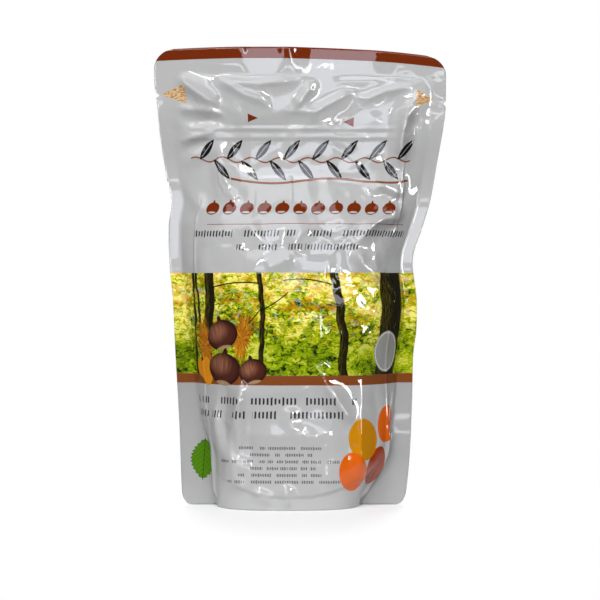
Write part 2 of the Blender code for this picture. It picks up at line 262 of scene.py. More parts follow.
# (x, half width, how far the top edge leans back) where the top seal mirrors the window
LEANS = ((-0.0230, 0.0075, 0.0012), (0.0210, 0.0150, 0.0012))
LEAN_FROM = 0.2640
# (reach, where it starts, wave length) of the left seam, the right seam and the top's bow
SWAY_LEFT = (0.0034, 0.020, 0.150)
SWAY_RIGHT = (-0.0030, -0.012, 0.118)
TOP_BOW = (0.0022, 0.012, 0.155)
TOP_FORWARD = 0.0015


def swing(at, wave, share=1.0):
    """A sine of this reach, times a share, and wave length, from where it starts."""
    reach, start, length = wave
    return reach * share * np.sin(2 * np.pi * (at - start) / length)


def middle_sheet(x, height):
    """y of the middle between the panels: each seam sways as a sine, and the top bows and
    leans back in round hollows."""
    hold = ease(height / 0.05) * ease((0.258 - height) / 0.05)
    sway_left, sway_right = swing(height, SWAY_LEFT) * hold, swing(height, SWAY_RIGHT) * hold
    t = np.clip(across(x, height), -1.0, 1.0)
    free = ease((height - 0.215) / 0.060)
    bow = swing(x, TOP_BOW, free) - TOP_FORWARD * free
    above = np.maximum(0.0, height - LEAN_FROM) / (HEIGHT - LEAN_FROM)
    for at_x, half, lean in LEANS:
        bow = bow + lean * above * ease(1.8 - 0.9 * np.abs(x - at_x) / half)
    return sway_left * ((1 - t) / 2) ** 2 + sway_right * ((1 + t) / 2) ** 2 + bow


# (drop, x where it starts, reach) of the top edge on the whole, and more on the right
DROP_WHOLE = (0.0014, -0.022, 0.060)
DROP_RIGHT = (0.0016, 0.035, 0.045)


def lifted(x, height):
    """Rows above the zip follow the top edge, two parabolas that drop towards its ends."""
    (whole, start, reach), (more, right_start, right_reach) = DROP_WHOLE, DROP_RIGHT
    drop = whole * ((x - start) / reach) ** 2
    drop += more * np.maximum(0.0, (x - right_start) / right_reach) ** 2
    start = ZIP_RIBS[-1] + 0.004
    return height - drop * np.maximum(0.0, (height - start) / (HEIGHT - start))


def bulge(t, height):
    """How far the plain body stands out: the depth table times (1 - |t|^p)^q. Towards the foot
    p falls from 3.3 to 2.6 and q from 0.93 to 0.38, so the foot is the fuller oval."""
    foot = 1.0 - ease(height / 0.085)
    power, root = 3.3 - 0.7 * foot, 1.0 / (1.08 + 1.52 * foot)
    deep = FILL_DEPTH * along(FILL_BY_HEIGHT, height)
    deep += (FOOT_DEPTH - FILL_DEPTH) * (1.0 - ease(height / 0.03))
    return deep * np.maximum(0.0, 1.0 - np.minimum(np.abs(t), 1.0) ** power) ** root


def laid_panel(side, columns, rows):
    """A grid of film points over the plain body. Columns keep their spacing along the curved
    film: each point's share of the row's arc length equals its share of the flat width."""
    u = np.linspace(-FLAT_WIDTH / 2, FLAT_WIDTH / 2, columns + 1)[None, :]
    height = np.linspace(0.0, HEIGHT, rows + 1)[:, None]
    left, right = side_edges(height)
    body_left, body_right = body_sides(height)
    flat_left, flat_right = body_left - left, right - body_right
    t = np.sin(np.linspace(-np.pi / 2, np.pi / 2, 401))[None, :]
    body_x = (body_left + body_right) / 2 + (body_right - body_left) / 2 * t
    body_y = side * bulge(t, height) + middle_sheet(body_x, height)
    arc = np.cumsum(np.hypot(np.diff(body_x), np.diff(body_y)), axis=1)
    arc = np.concatenate([np.zeros_like(height), arc / arc[:, -1:]], 1)
    own_row = 2.0 * np.arange(rows + 1)[:, None]
    share = (u + FLAT_WIDTH / 2 - flat_left) / (FLAT_WIDTH - flat_left - flat_right)
    find = np.clip(share, 0.0, 1.0) + own_row
    x = np.interp(find, (arc + own_row).ravel(), body_x.ravel())
    y = np.interp(find, (arc + own_row).ravel(), body_y.ravel())
    in_left, in_right = share < 0.0, share > 1.0
    x = np.where(in_left, left + (u + FLAT_WIDTH / 2), x)
    x = np.where(in_right, right - (FLAT_WIDTH / 2 - u), x)
    y = np.where(in_left | in_right, middle_sheet(x, height), y)
    return np.stack([x, y + side * SEAL_HALF, lifted(x, height)], -1)


# Contents: the chestnuts press on the film from inside as low uneven bumps, and stiff folds
# of the film itself stand up as ridges. The film may rest on them but never pass below.
NUT_PITCH_ACROSS = 0.0290
NUT_PITCH_UP = 0.0250
NUT_RADIUS = 0.0165
NUT_RELIEF = 0.0011
NUT_SHIFT_ACROSS = 0.006
NUT_SHIFT_UP = 0.005
LOWEST_NUTS = 0.024
NUTS_TOP = 0.192
RASTER = 0.001
RASTER_LOW = (-0.095, 0.0)
RASTER_HIGH = (0.095, 0.285)
# Ridges on the front: points (x, z) in millimetres, then height and half width
FRONT_RIDGES = (
    (((-76, 265), (-49, 247)), 1.6, 8),
    (((82, 258), (67, 247), (63, 237), (63, 207)), 3.0, 9),
    (((63, 207), (60, 197), (48, 199), (42, 191)), 2.0, 7),
    (((51, 184), (59, 174)), 2.2, 8),
    (((64, 186), (43, 171), (34, 160)), 2.4, 8),
    (((34, 159), (46, 142), (53, 141)), 2.2, 8),
    (((-51, 232), (-48, 213), (-45, 195), (-38, 185)), 2.0, 9),
    (((-21, 146), (-4, 154)), 1.4, 8),
    (((-4, 154), (0, 169), (15, 174)), 1.2, 9),
    (((9, 88), (19, 73), (34, 48)), 2.0, 10),
    (((-49, 54), (-43, 24), (-35, 13)), 1.5, 10),
    (((-36, 78), (-42, 46)), 1.5, 10),
    (((-55, 60), (-58, 34)), 1.2, 8),
)
BACK_RIDGES = (
    (((-80, 256), (-65, 245), (-62, 232), (-61, 205)), 2.8, 9),
    (((-61, 203), (-50, 196), (-40, 188)), 2.0, 8),
    (((-62, 182), (-44, 170), (-33, 158)), 2.4, 8),
    (((-33, 158), (-46, 143)), 2.0, 8),
    (((52, 228), (47, 208), (42, 190)), 2.2, 9),
    (((40, 176), (18, 165), (2, 170)), 1.6, 9),
    (((-12, 92), (-24, 70)), 1.8, 9),
    (((20, 60), (34, 44)), 1.6, 9),
    (((46, 56), (42, 24)), 1.5, 9),
    (((-50, 60), (-42, 22)), 1.5, 9),
)


def nut_bumps(x, height, seed):
    """The highest nut at each place: caps (1 - r squared)^0.8 in staggered, shifted rows."""
    draw = np.random.default_rng(seed)
    best = np.zeros_like(x)
    for row in range(int(NUTS_TOP / NUT_PITCH_UP)):
        count = 4 if row % 2 else 3
        for column in range(count):
            nut_x = (column - (count - 1) / 2) * NUT_PITCH_ACROSS - 0.004
            nut_x += draw.uniform(-NUT_SHIFT_ACROSS, NUT_SHIFT_ACROSS)
            nut_z = LOWEST_NUTS + row * NUT_PITCH_UP + draw.uniform(-NUT_SHIFT_UP, NUT_SHIFT_UP)
            radius = NUT_RADIUS * draw.uniform(0.8, 1.15)
            tall = draw.uniform(0.4, 1.4)
            away = ((x - nut_x) ** 2 + (height - nut_z) ** 2) / radius**2
            best = np.maximum(best, tall * np.maximum(0.0, 1.0 - away) ** 0.8)
    return NUT_RELIEF * best * ease(height / 0.03)


def ridge_lines(x, height, ridges):
    """The highest ridge at each place: a tent across each line, lower at the line's ends."""
    best = np.zeros_like(x)
    for points, tall, half in ridges:
        points = np.array(points) / 1000.0
        for number, (start, end) in enumerate(zip(points, points[1:])):
            run = end - start
            share = ((x - start[0]) * run[0] + (height - start[1]) * run[1]) / (run @ run)
            share = np.clip(share, 0.0, 1.0)
            away = np.hypot(x - start[0] - share * run[0], height - start[1] - share * run[1])
            whole = (number + share) / (len(points) - 1)
            ends = np.clip(np.minimum(whole, 1 - whole) * 5 + 0.25, 0.0, 1.0)
            best = np.maximum(best, tall / 1000 * ends * np.maximum(0.0, 1 - away * 1000 / half))
    return best


def inner_reach(ridges, seed):
    """On a raster of x and height, how far the inside reaches out from the middle sheet:
    the plain body, let in by a quarter above the nuts, plus the nuts, plus the ridges."""
    x, height = np.meshgrid(
        np.arange(RASTER_LOW[0], RASTER_HIGH[0], RASTER),
        np.arange(RASTER_LOW[1], RASTER_HIGH[1], RASTER),
    )
    t = np.clip(across(x, height), -1.0, 1.0)
    over_nuts = ease((0.205 - height) / 0.03)
    inside = ease((1.0 - np.abs(t)) / 0.16)
    relief = nut_bumps(x, height, seed) * over_nuts + ridge_lines(x, height, ridges)
    return bulge(t, height) * (0.75 + 0.25 * over_nuts) + relief * inside


def read_raster(raster, x, height):
    """The raster's value between its points, weighted by the four nearest."""
    column = (x - RASTER_LOW[0]) / RASTER
    row = (height - RASTER_LOW[1]) / RASTER
    j = np.clip(column.astype(int), 0, raster.shape[1] - 2)
    i = np.clip(row.astype(int), 0, raster.shape[0] - 2)
    a, b = np.clip(column - j, 0.0, 1.0), np.clip(row - i, 0.0, 1.0)
    low = raster[i, j] * (1 - a) + raster[i, j + 1] * a
    high = raster[i + 1, j] * (1 - a) + raster[i + 1, j + 1] * a
    return low * (1 - b) + high * b


# Creasing: the laminate bends but hardly stretches, and it has a little more film than the
# body needs, so it buckles over the nuts and crumples at the neck, as a filled pouch does.
# columns, rows, passes and bending of each round, coarse to fine
ROUNDS = ((40, 64, 400, 0.25), (80, 128, 300, 0.15), (160, 256, 260, 0.08))
SPARE_UP = 0.012
SPARE_ACROSS = 0.030
# (height, share): where the spare film across the pouch gathers
SPARE_BY_HEIGHT = (
    (0.000, 0.4), (0.030, 0.8), (0.150, 1.0), (0.190, 1.5), (0.225, 1.2), (0.250, 0.8),
    (0.283, 0.3),
)
PULL_IN = 0.00003
START_NOISE = 0.0012
FOOT_HELD = 0.0065
REST_GAP = 0.0003
LONGEST_PUSH = 0.0004
SHAKE_GRID = (14, 10)
FAR_STEP = 4


def free_share(columns, rows):
    """1 where the film is free, 0 where it is sealed: sides, wings, top seal and foot."""
    u = np.linspace(-FLAT_WIDTH / 2, FLAT_WIDTH / 2, columns + 1)[None, :]
    v = np.linspace(0.0, FILM_HEIGHT, rows + 1)[:, None]
    height = v * HEIGHT / FILM_HEIGHT
    sealed = FLAT_WIDTH / 2 + u < along(LEFT_FLAT, height) - foot_corner(height) + 1e-6
    sealed = sealed | (FLAT_WIDTH / 2 - u < along(RIGHT_FLAT, height) - foot_corner(height) + 1e-6)
    sealed = sealed | (v >= FILM_HEIGHT - TOP_SEAL_HEIGHT) | (v < FOOT_HELD)
    return np.where(sealed, 0.0, 1.0)


def links_between(laid, free, bend):
    """Pairs of film points that keep their distance, in turns that share no point: next
    neighbours, both diagonals, and second and fourth neighbours, which only push apart."""
    rows, columns = free.shape
    height = np.linspace(0.0, HEIGHT, rows)[:, None]
    spare = 1 + SPARE_ACROSS * np.interp(height, *np.array(SPARE_BY_HEIGHT).T)
    whole_across = np.cumsum(np.linalg.norm(np.diff(laid, axis=1), axis=-1) * spare, axis=1)
    whole_up = np.cumsum(np.linalg.norm(np.diff(laid, axis=0), axis=-1) * (1 + SPARE_UP), axis=0)
    whole_across = np.concatenate([np.zeros((rows, 1)), whole_across], 1)
    whole_up = np.concatenate([np.zeros((1, columns)), whole_up], 0)
    everything = slice(None)
    turns = []
    for step, pull, only_push in ((1, 1.0, False), (2, bend, True), (FAR_STEP, bend / 2, True)):
        for first in range(2 * step):
            near = slice(first, columns - step, 2 * step)
            far = slice(first + step, columns, 2 * step)
            rest = whole_across[:, far] - whole_across[:, near]
            turns.append(((everything, near), (everything, far), rest, pull, only_push, step))
        for first in range(2 * step):
            near = slice(first, rows - step, 2 * step)
            far = slice(first + step, rows, 2 * step)
            rest = whole_up[far] - whole_up[near]
            turns.append(((near, everything), (far, everything), rest, pull, only_push, step))
    slant_spare = (spare[:-1] + 1 + SPARE_UP) / 2
    low, high = slice(0, rows - 1), slice(1, rows)
    for first in range(2):
        near, far = slice(first, columns - 1, 2), slice(first + 1, columns, 2)
        for one, two in (((low, near), (high, far)), ((high, near), (low, far))):
            rest = np.linalg.norm(laid[one] - laid[two], axis=-1) * slant_spare
            turns.append((one, two, rest, 0.5, False, 1))
    made = []
    for one, two, rest, pull, only_push, step in turns:
        both = np.maximum(free[one] + free[two], 1e-9)
        made.append((one, two, rest, pull * free[one] / both, pull * free[two] / both, only_push, step))
    return made


def finer(points):
    """Doubles the grid: each new point is 9/16 of its two neighbours less 1/16 of the next."""
    for axis in (0, 1):
        points = np.moveaxis(points, axis, 0)
        doubled = np.empty((2 * len(points) - 1, *points.shape[1:]))
        doubled[::2] = points
        ends = np.concatenate([2 * points[:1] - points[1:2], points, 2 * points[-1:] - points[-2:-1]])
        doubled[1::2] = (9 * (points[:-1] + points[1:]) - (ends[:-3] + ends[3:])) / 16
        points = np.moveaxis(doubled, 0, axis)
    return points


def settle(points, laid, free, side, inner, middle, passes, bend):
    """Moves the free points, pass by pass: drawn in a little, each pair of points back to its
    distance, and, every other pass, out to the inner reach where they passed below it."""
    pairs = links_between(laid, free, bend)
    for number in range(passes):
        points[..., 1] -= side * PULL_IN * free
        for one, two, rest, share_one, share_two, only_push, step in pairs:
            if step == FAR_STEP and number % 2:
                continue
            gap = points[two] - points[one]
            distance = np.sqrt(np.einsum("...k,...k", gap, gap)) + 1e-12
            wrong = (distance - rest) / distance
            if only_push:
                wrong = np.minimum(wrong, 0.0)
            points[one] += gap * (wrong * share_one)[..., None]
            points[two] -= gap * (wrong * share_two)[..., None]
        if number % 2 == 0:
            x, height = points[..., 0], points[..., 2]
            out = side * (points[..., 1] - read_raster(middle, x, height))
            short = np.clip(read_raster(inner, x, height) + REST_GAP - out, 0.0, LONGEST_PUSH)
            points[..., 1] += side * short * free
    return points


def smooth_noise(knots, rows, columns):
    """Random knots spread over a grid of points, with S-curves from knot to knot."""
    i = np.linspace(0, len(knots) - 2 + 0.999, rows + 1)
    j = np.linspace(0, len(knots[0]) - 2 + 0.999, columns + 1)
    i0, j0 = i.astype(int)[:, None], j.astype(int)[None, :]
    a, b = ease(i[:, None] - i0), ease(j[None, :] - j0)
    low = knots[i0, j0] * (1 - b) + knots[i0, j0 + 1] * b
    high = knots[i0 + 1, j0] * (1 - b) + knots[i0 + 1, j0 + 1] * b
    return low * (1 - a) + high * a


def creased_panel(side, ridges, seed):
    """The laid panel, shaken by smooth noise and settled in rounds on finer and finer grids."""
    draw = np.random.default_rng(seed)
    inner = inner_reach(ridges, seed)
    middle = middle_sheet(*np.meshgrid(
        np.arange(RASTER_LOW[0], RASTER_HIGH[0], RASTER),
        np.arange(RASTER_LOW[1], RASTER_HIGH[1], RASTER),
    ))
    points = None
    for columns, rows, passes, bend in (ROUNDS):
        laid = laid_panel(side, columns, rows)
        free = free_share(columns, rows)
        if points is None:
            shake = smooth_noise(draw.normal(size=SHAKE_GRID), rows, columns)
            points = laid.copy()
            points[..., 1] += side * START_NOISE * shake * free
        else:
            points = laid + (finer(points) - laid) * free[..., None]
        settle(points, laid, free, side, inner, middle, passes, bend)
    return points


front = creased_panel(-1.0, FRONT_RIDGES, 11)
back = creased_panel(1.0, BACK_RIDGES, 29)


# Seals and zip: pressed between hot bars. Two zip ribs run across, and above the curved
# bottom seal the film stands out by a small step. Fine creases cross the header, and a small
# tear notch is cut into each side seal.
ZIP_RIB_HEIGHT = 0.0007
ZIP_RIB_HALF = 0.0013
ZIP_REACH = (-0.071, 0.062)
SEAL_LINE_LOW = 0.0073
SEAL_LINE_RISE = 0.0150
SEAL_LINE_STEP = 0.0014
# (height, -1 for the left edge or 1 for the right one, depth)
NOTCHES = ((0.2533, -1.0, 0.0026), (0.2480, 1.0, 0.0018))
NOTCH_HALF = 0.0017
NOTCH_GIVE = 0.0065
CREASE_SHARP = 0.0004
# Creases on the front: points (x, z) in millimetres, height and half width; below 0 is a dent
FRONT_CREASES = (
    (((-55, 267), (-45, 260), (-34, 254), (-26, 251), (-15, 243)), 1.4, 9),
    (((-56, 267), (-40, 262), (-26, 260), (-9, 262), (8, 263)), 1.0, 7),
    (((10, 263), (3, 253), (-4, 243)), 1.7, 7),
    (((-12, 248), (-6, 243), (9, 243), (17, 247), (27, 253), (39, 257)), 1.3, 8),
    (((30, 253), (41, 251), (53, 256), (66, 258), (78, 263)), 1.3, 8),
    (((14, 255), (26, 262), (49, 263), (73, 262)), 0.6, 6),
    (((-78, 267), (-71, 260), (-57, 250), (-48, 246)), 1.8, 9),
    (((-81, 246), (-59, 244), (-45, 241)), 1.0, 5),
    (((-80, 241), (-66, 238), (-44, 237)), -1.0, 5),
    (((-82, 223), (-65, 228), (-48, 233)), 1.3, 6),
    (((-80, 215), (-66, 222), (-52, 226)), -1.0, 6),
    (((-78, 206), (-66, 214), (-54, 219), (-48, 226)), 1.2, 7),
    (((75, 250), (66, 240), (63, 230), (61, 208)), 2.2, 7),
    (((83, 258), (76, 246), (75, 230)), 1.0, 5),
    (((-78, 198), (-66, 188), (-58, 181)), 1.8, 9),
    (((-52, 214), (-47, 202), (-38, 194), (-33, 184)), 1.6, 9),
    (((-33, 184), (-30, 172), (-20, 160), (-8, 152)), 1.2, 10),
    (((15, 197), (19, 190), (24, 196)), 0.9, 6),
    (((-20, 146), (-6, 154), (2, 168), (14, 176)), 1.1, 9),
    (((44, 196), (50, 197), (65, 190)), 2.0, 8),
    (((47, 191), (60, 179), (47, 175), (34, 162)), 1.9, 7),
    (((34, 162), (38, 148), (51, 138)), 1.9, 8),
    (((46, 159), (47, 146), (52, 141)), 1.2, 6),
    (((58, 156), (71, 172)), -1.6, 8),
    (((60, 150), (64, 128), (62, 108)), 1.2, 8),
    (((-59, 160), (-62, 138), (-60, 112)), 1.1, 9),
    (((13, 81), (19, 70), (33, 50)), 1.9, 9),
    (((16, 78), (28, 62), (36, 53)), 1.0, 5),
    (((-34, 72), (-39, 60), (-42, 44)), 1.7, 6),
    (((-56, 52), (-60, 38), (-54, 24)), 1.2, 7),
    (((-52, 47), (-15, 45), (24, 45)), 1.1, 8),
    (((-44, 80), (-46, 58), (-44, 30)), -2.2, 7),
    (((-52, 66), (-53, 42), (-50, 18)), 1.6, 5),
    (((-36, 84), (-37, 64), (-34, 44)), 1.8, 6),
    (((-31, 13), (-23, 8), (-14, 5)), 1.8, 6),
    (((-30, 62), (-31, 40), (-27, 22)), -1.4, 7),
    (((-46, 36), (-38, 27), (-29, 24)), 1.2, 7),
    (((-50, 18), (-40, 14), (-30, 14)), 1.2, 6),
    (((22, 60), (28, 44), (30, 24)), -1.2, 8),
    (((-4, 66), (-6, 54), (-2, 44)), 1.0, 8),
    (((6, 34), (14, 22), (24, 14)), 1.2, 7),
    (((44, 78), (47, 60), (46, 40), (44, 22)), -1.2, 6),
    (((-50, 48), (-44, 24), (-35, 12)), 1.1, 10),
    (((-10, 18), (-8, 8), (-6, 0)), 1.3, 8),
    (((38, 82), (37, 50), (37, 3)), 1.4, 8),
    (((56, 66), (58, 40), (57, 22)), 1.0, 7),
)
# Crisp folds on the front, in the same form
FRONT_FOLDS = (
    (((-55, 267), (-45, 260), (-34, 253), (-26, 251), (-15, 243)), 0.80, 4.0),
    (((-55, 267), (-40, 262), (-26, 260), (-10, 262), (8, 263)), 0.60, 3.5),
    (((9, 262), (2, 252), (-4, 244)), 0.90, 4.0),
    (((-11, 248), (-6, 243), (9, 243), (16, 247), (27, 253), (39, 257)), 0.70, 3.5),
    (((31, 253), (42, 251), (53, 256), (66, 258), (79, 263)), 0.70, 3.5),
    (((-77, 267), (-71, 260), (-57, 250), (-49, 246)), 0.90, 4.0),
    (((-81, 245), (-59, 244), (-45, 240)), 0.50, 3.0),
    (((-82, 222), (-65, 227), (-50, 232)), 0.60, 3.0),
    (((75, 250), (66, 240), (63, 229), (61, 209)), 1.20, 4.0),
    (((45, 196), (52, 197), (67, 190)), 0.90, 4.5),
    (((47, 191), (60, 179), (47, 175), (34, 162)), 0.90, 4.0),
    (((34, 162), (38, 148), (51, 138)), 0.90, 4.0),
    (((13, 81), (19, 70), (33, 50)), 1.10, 4.0),
    (((16, 78), (29, 58), (35, 52)), 0.50, 3.0),
    (((-34, 78), (-40, 60), (-38, 45), (-35, 28)), 0.80, 4.0),
    (((-9, 15), (-7, 1)), 0.60, 3.5),
    (((38, 78), (37, 50), (37, 8)), 0.60, 3.5),
    (((-50, 74), (-52, 50), (-49, 24)), 0.80, 3.5),
    (((-43, 58), (-43, 36), (-38, 14)), 0.80, 3.5),
)
BACK_CREASES = (
    (((55, 267), (40, 260), (24, 251), (12, 243)), 1.4, 9),
    (((-12, 263), (-4, 253), (4, 243)), 1.6, 7),
    (((4, 243), (-22, 247), (-50, 255), (-78, 262)), 1.2, 8),
    (((78, 266), (62, 257), (46, 246)), 1.6, 9),
    (((80, 238), (60, 240), (40, 236)), -1.0, 7),
    (((-80, 222), (-62, 228), (-46, 234)), 1.2, 6),
    (((-63, 246), (-61, 226), (-60, 206)), 2.0, 7),
    (((-62, 192), (-48, 180), (-34, 160)), 1.8, 8),
    (((56, 196), (44, 184), (30, 160)), 1.6, 9),
    (((14, 174), (-2, 162), (-16, 148)), 1.2, 9),
    (((-22, 92), (-30, 70), (-44, 48)), 1.6, 9),
    (((40, 76), (42, 52), (38, 24)), 1.5, 9),
    (((-40, 60), (-38, 34), (-34, 12)), 1.2, 9),
)
LOOSE_CREASES = 46


def crease_lines(x, height, creases):
    """Sum of crests along lines: (1 - d / half)^1.5 across, with d rounded off at the crest,
    and narrowing to nothing at both ends of the line."""
    total = np.zeros_like(x)
    for points, tall, half in creases:
        points = np.array(points) / 1000.0
        runs = np.diff(points, axis=0)
        lengths = np.hypot(*runs.T)
        best = np.zeros_like(x)
        for start, run, done, length_here in zip(points, runs, np.cumsum(lengths) - lengths, lengths):
            share = ((x - start[0]) * run[0] + (height - start[1]) * run[1]) / length_here**2
            share = np.clip(share, 0.0, 1.0)
            away = np.hypot(x - start[0] - share * run[0], height - start[1] - share * run[1])
            away = np.sqrt(away**2 + CREASE_SHARP**2) - CREASE_SHARP
            whole = (done + share * length_here) / lengths.sum()
            end = ease(3.3 * np.minimum(whole, 1 - whole))
            wide = half / 1000 * (0.45 + 0.55 * end)
            best = np.maximum(best, end * np.clip(1 - away / wide, 0.0, 1.0) ** 1.5)
        total += tall / 1000 * best
    return total


def loose_creases(seed):
    """Short bent creases strewn over a panel, two thirds standing out and the rest dents."""
    draw = np.random.default_rng(seed)
    made = []
    for _ in range(LOOSE_CREASES):
        x, z = draw.uniform(-62, 58), draw.uniform(12, 262)
        turn, reach = draw.uniform(0, math.pi), draw.uniform(12, 30)
        bent = turn + draw.uniform(-0.35, 0.35)
        start = (x - reach * math.cos(turn), z - reach * math.sin(turn))
        end = (x + reach * math.cos(bent), z + reach * math.sin(bent))
        tall = draw.uniform(0.25, 0.8) * (1 if draw.random() < 0.7 else -1)
        made.append(((start, (x, z), end), tall, draw.uniform(6, 12)))
    return made


def pressed(points, side, creases):
    """Adds zip ribs (parabolas with a slant between), the bottom seal's step and the creases,
    outwards, and keeps the panel on its own side of the middle sheet."""
    x, height = points[..., 0], points[..., 2]
    t = across(x, height)
    body = ease((1.0 - np.abs(t)) / 0.16) * ease((HEIGHT - TOP_SEAL_HEIGHT - height) / 0.008)
    ribs = sum(np.maximum(0.0, 1.0 - ((height - rib) / ZIP_RIB_HALF) ** 2) for rib in ZIP_RIBS)
    slant = ease((height - ZIP_RIBS[0]) / 0.001) * np.clip((ZIP_RIBS[1] - height) / 0.0055, 0.0, 1.0)
    ribs = ZIP_RIB_HEIGHT * np.maximum(ribs, 0.8 * slant)
    ribs = ribs * ease((x - ZIP_REACH[0]) / 0.006) * ease((ZIP_REACH[1] - x) / 0.006)
    line = SEAL_LINE_LOW + SEAL_LINE_RISE * np.minimum(np.abs(t), 1.0) ** 2.5
    step = ease((height - line) / 0.0012) * (1.0 - ease((height - line) / 0.030))
    middle = middle_sheet(x, height)
    out = side * (points[..., 1] - middle)
    out = out + crease_lines(x, height, creases) * body + ribs + SEAL_LINE_STEP * step * body
    points[..., 1] = middle + side * np.maximum(out, SEAL_HALF)
    return points


def notched(points):
    """Cuts a V into each side edge: its points move in, and those behind them less and less."""
    x, height = points[..., 0], points[..., 2]
    for at_height, side, deep in NOTCHES:
        edge = points[:, -1:, 0].copy() if side > 0 else points[:, :1, 0].copy()
        cut = np.maximum(0.0, 1.0 - np.abs(height - at_height) / NOTCH_HALF)
        x -= side * deep * cut * np.maximum(0.0, 1.0 - np.abs(x - edge) / NOTCH_GIVE)
    return points


front = notched(pressed(front, -1.0, (*FRONT_CREASES, *FRONT_FOLDS, *loose_creases(7))))
back = notched(pressed(back, 1.0, (*BACK_CREASES, *loose_creases(8))))


# Gusset: the underside is a third piece of film, folded up between the panels and sealed to
# them. A skirt stands on the floor, a groove runs inside it, and the middle rests flat.
GROOVE = ((0.0013, 0.0), (0.0022, 0.0030), (0.0034, 0.0046), (0.0052, 0.0040), (0.0075, 0.0026),
          (0.0100, 0.0009), (0.0130, 0.0))
GROOVE_FULL_DEPTH = 0.0155
ATLAS = 0.4                 # metres of film in one unit of the print's map
UNDERSIDE_ROW = 0.88        # where the gusset lies on that map

inward, rise = np.array(GROOVE).T
foot_front, foot_back = front[0], back[0]
half_depth = (foot_back[:, 1] - foot_front[:, 1]) / 2
room_there = np.minimum(1.0, half_depth / GROOVE_FULL_DEPTH)
inward, rise = inward[:, None] * room_there, rise[:, None] * room_there**2
x_line = np.broadcast_to(foot_front[:, 0], inward.shape)
from_front = np.stack([x_line, foot_front[:, 1] + inward, rise], -1)
centre = np.stack([foot_front[:, 0], foot_front[:, 1] + half_depth, 0 * half_depth], -1)[None]
from_back = np.stack([x_line, foot_back[:, 1] - inward, rise], -1)[::-1]
under = np.concatenate([from_front, centre, from_back])

rows, columns = front.shape[:2]
count = rows * columns
front_index = np.arange(count).reshape(rows, columns)
back_index = front_index + count
under_index = np.arange(under.shape[0] * columns).reshape(-1, columns) + 2 * count
u_flat = np.broadcast_to(np.linspace(-FLAT_WIDTH / 2, FLAT_WIDTH / 2, columns), (rows, columns))
v_flat = np.broadcast_to(np.linspace(0.0, FILM_HEIGHT, rows)[:, None], (rows, columns))
front_map = np.stack([(u_flat + 0.1) / ATLAS, v_flat / ATLAS], -1)
back_map = np.stack([(0.1 - u_flat) / ATLAS + 0.5, v_flat / ATLAS], -1)


def quads(low, high, low_map, high_map):
    """Faces between two lists of points side by side, with their places on the print's map."""
    faces = np.stack([low[:-1], low[1:], high[1:], high[:-1]], -1)
    places = np.stack([low_map[:-1], low_map[1:], high_map[1:], high_map[:-1]], -2)
    return faces.reshape(-1, 4), places.reshape(-1, 4, 2)


def sheet(index, plan):
    """Faces of a whole grid, row by row."""
    parts = [quads(*pair) for pair in zip(index, index[1:], plan, plan[1:])]
    return np.concatenate([p[0] for p in parts]), np.concatenate([p[1] for p in parts])


under_rows = np.concatenate([front_index[:1], under_index, back_index[:1]])
under_y = np.concatenate([foot_front[None], under, foot_back[None]])[..., 1]
under_map = np.stack([
    np.broadcast_to((u_flat[0] + 0.1) / ATLAS, under_y.shape), UNDERSIDE_ROW + under_y / ATLAS,
], -1)
parts = {
    "front": sheet(front_index, front_map),
    "back": sheet(back_index[:, ::-1], back_map[:, ::-1]),
    "under": sheet(under_rows[::-1], under_map[::-1]),
    "top": quads(front_index[-1], back_index[-1], front_map[-1], front_map[-1]),
    "left": quads(front_index[::-1, 0], back_index[::-1, 0], front_map[::-1, 0], front_map[::-1, 0]),
    "right": quads(front_index[:, -1], back_index[:, -1], front_map[:, -1], front_map[:, -1]),
}
SURFACES = ("front", "back", "under", "top", "left", "right")
faces = np.concatenate([parts[name][0] for name in SURFACES])
kinds = np.concatenate([
    np.full(len(parts[name][0]), {"back": 1, "under": 2}.get(name, 0)) for name in SURFACES
]).astype(np.int32)
places = np.concatenate([parts[name][1] for name in SURFACES])
points = np.concatenate([front.reshape(-1, 3), back.reshape(-1, 3), under.reshape(-1, 3)])
own_middle = (points.min(0) + points.max(0)) / 2
frame_middle = (np.array(cad_low) + np.array(cad_high)) / 2
points[:, :2] += (frame_middle - own_middle)[:2]

film_mesh = bpy.data.meshes.new("pouch_film")
film_mesh.vertices.add(len(points))
film_mesh.vertices.foreach_set("co", points.ravel())
film_mesh.loops.add(faces.size)
film_mesh.loops.foreach_set("vertex_index", faces.ravel().astype(np.int32))
film_mesh.polygons.add(len(faces))
film_mesh.polygons.foreach_set("loop_start", np.arange(0, faces.size, 4, dtype=np.int32))
film_mesh.update(calc_edges=True)
film_mesh.uv_layers.new(name="film")
film_mesh.uv_layers["film"].data.foreach_set("uv", places.ravel().astype(np.float32))
film_mesh.validate()
film_mesh.shade_smooth()
pouch_film = bpy.data.objects.new("pouch_film", film_mesh)
bpy.context.scene.collection.objects.link(pouch_film)


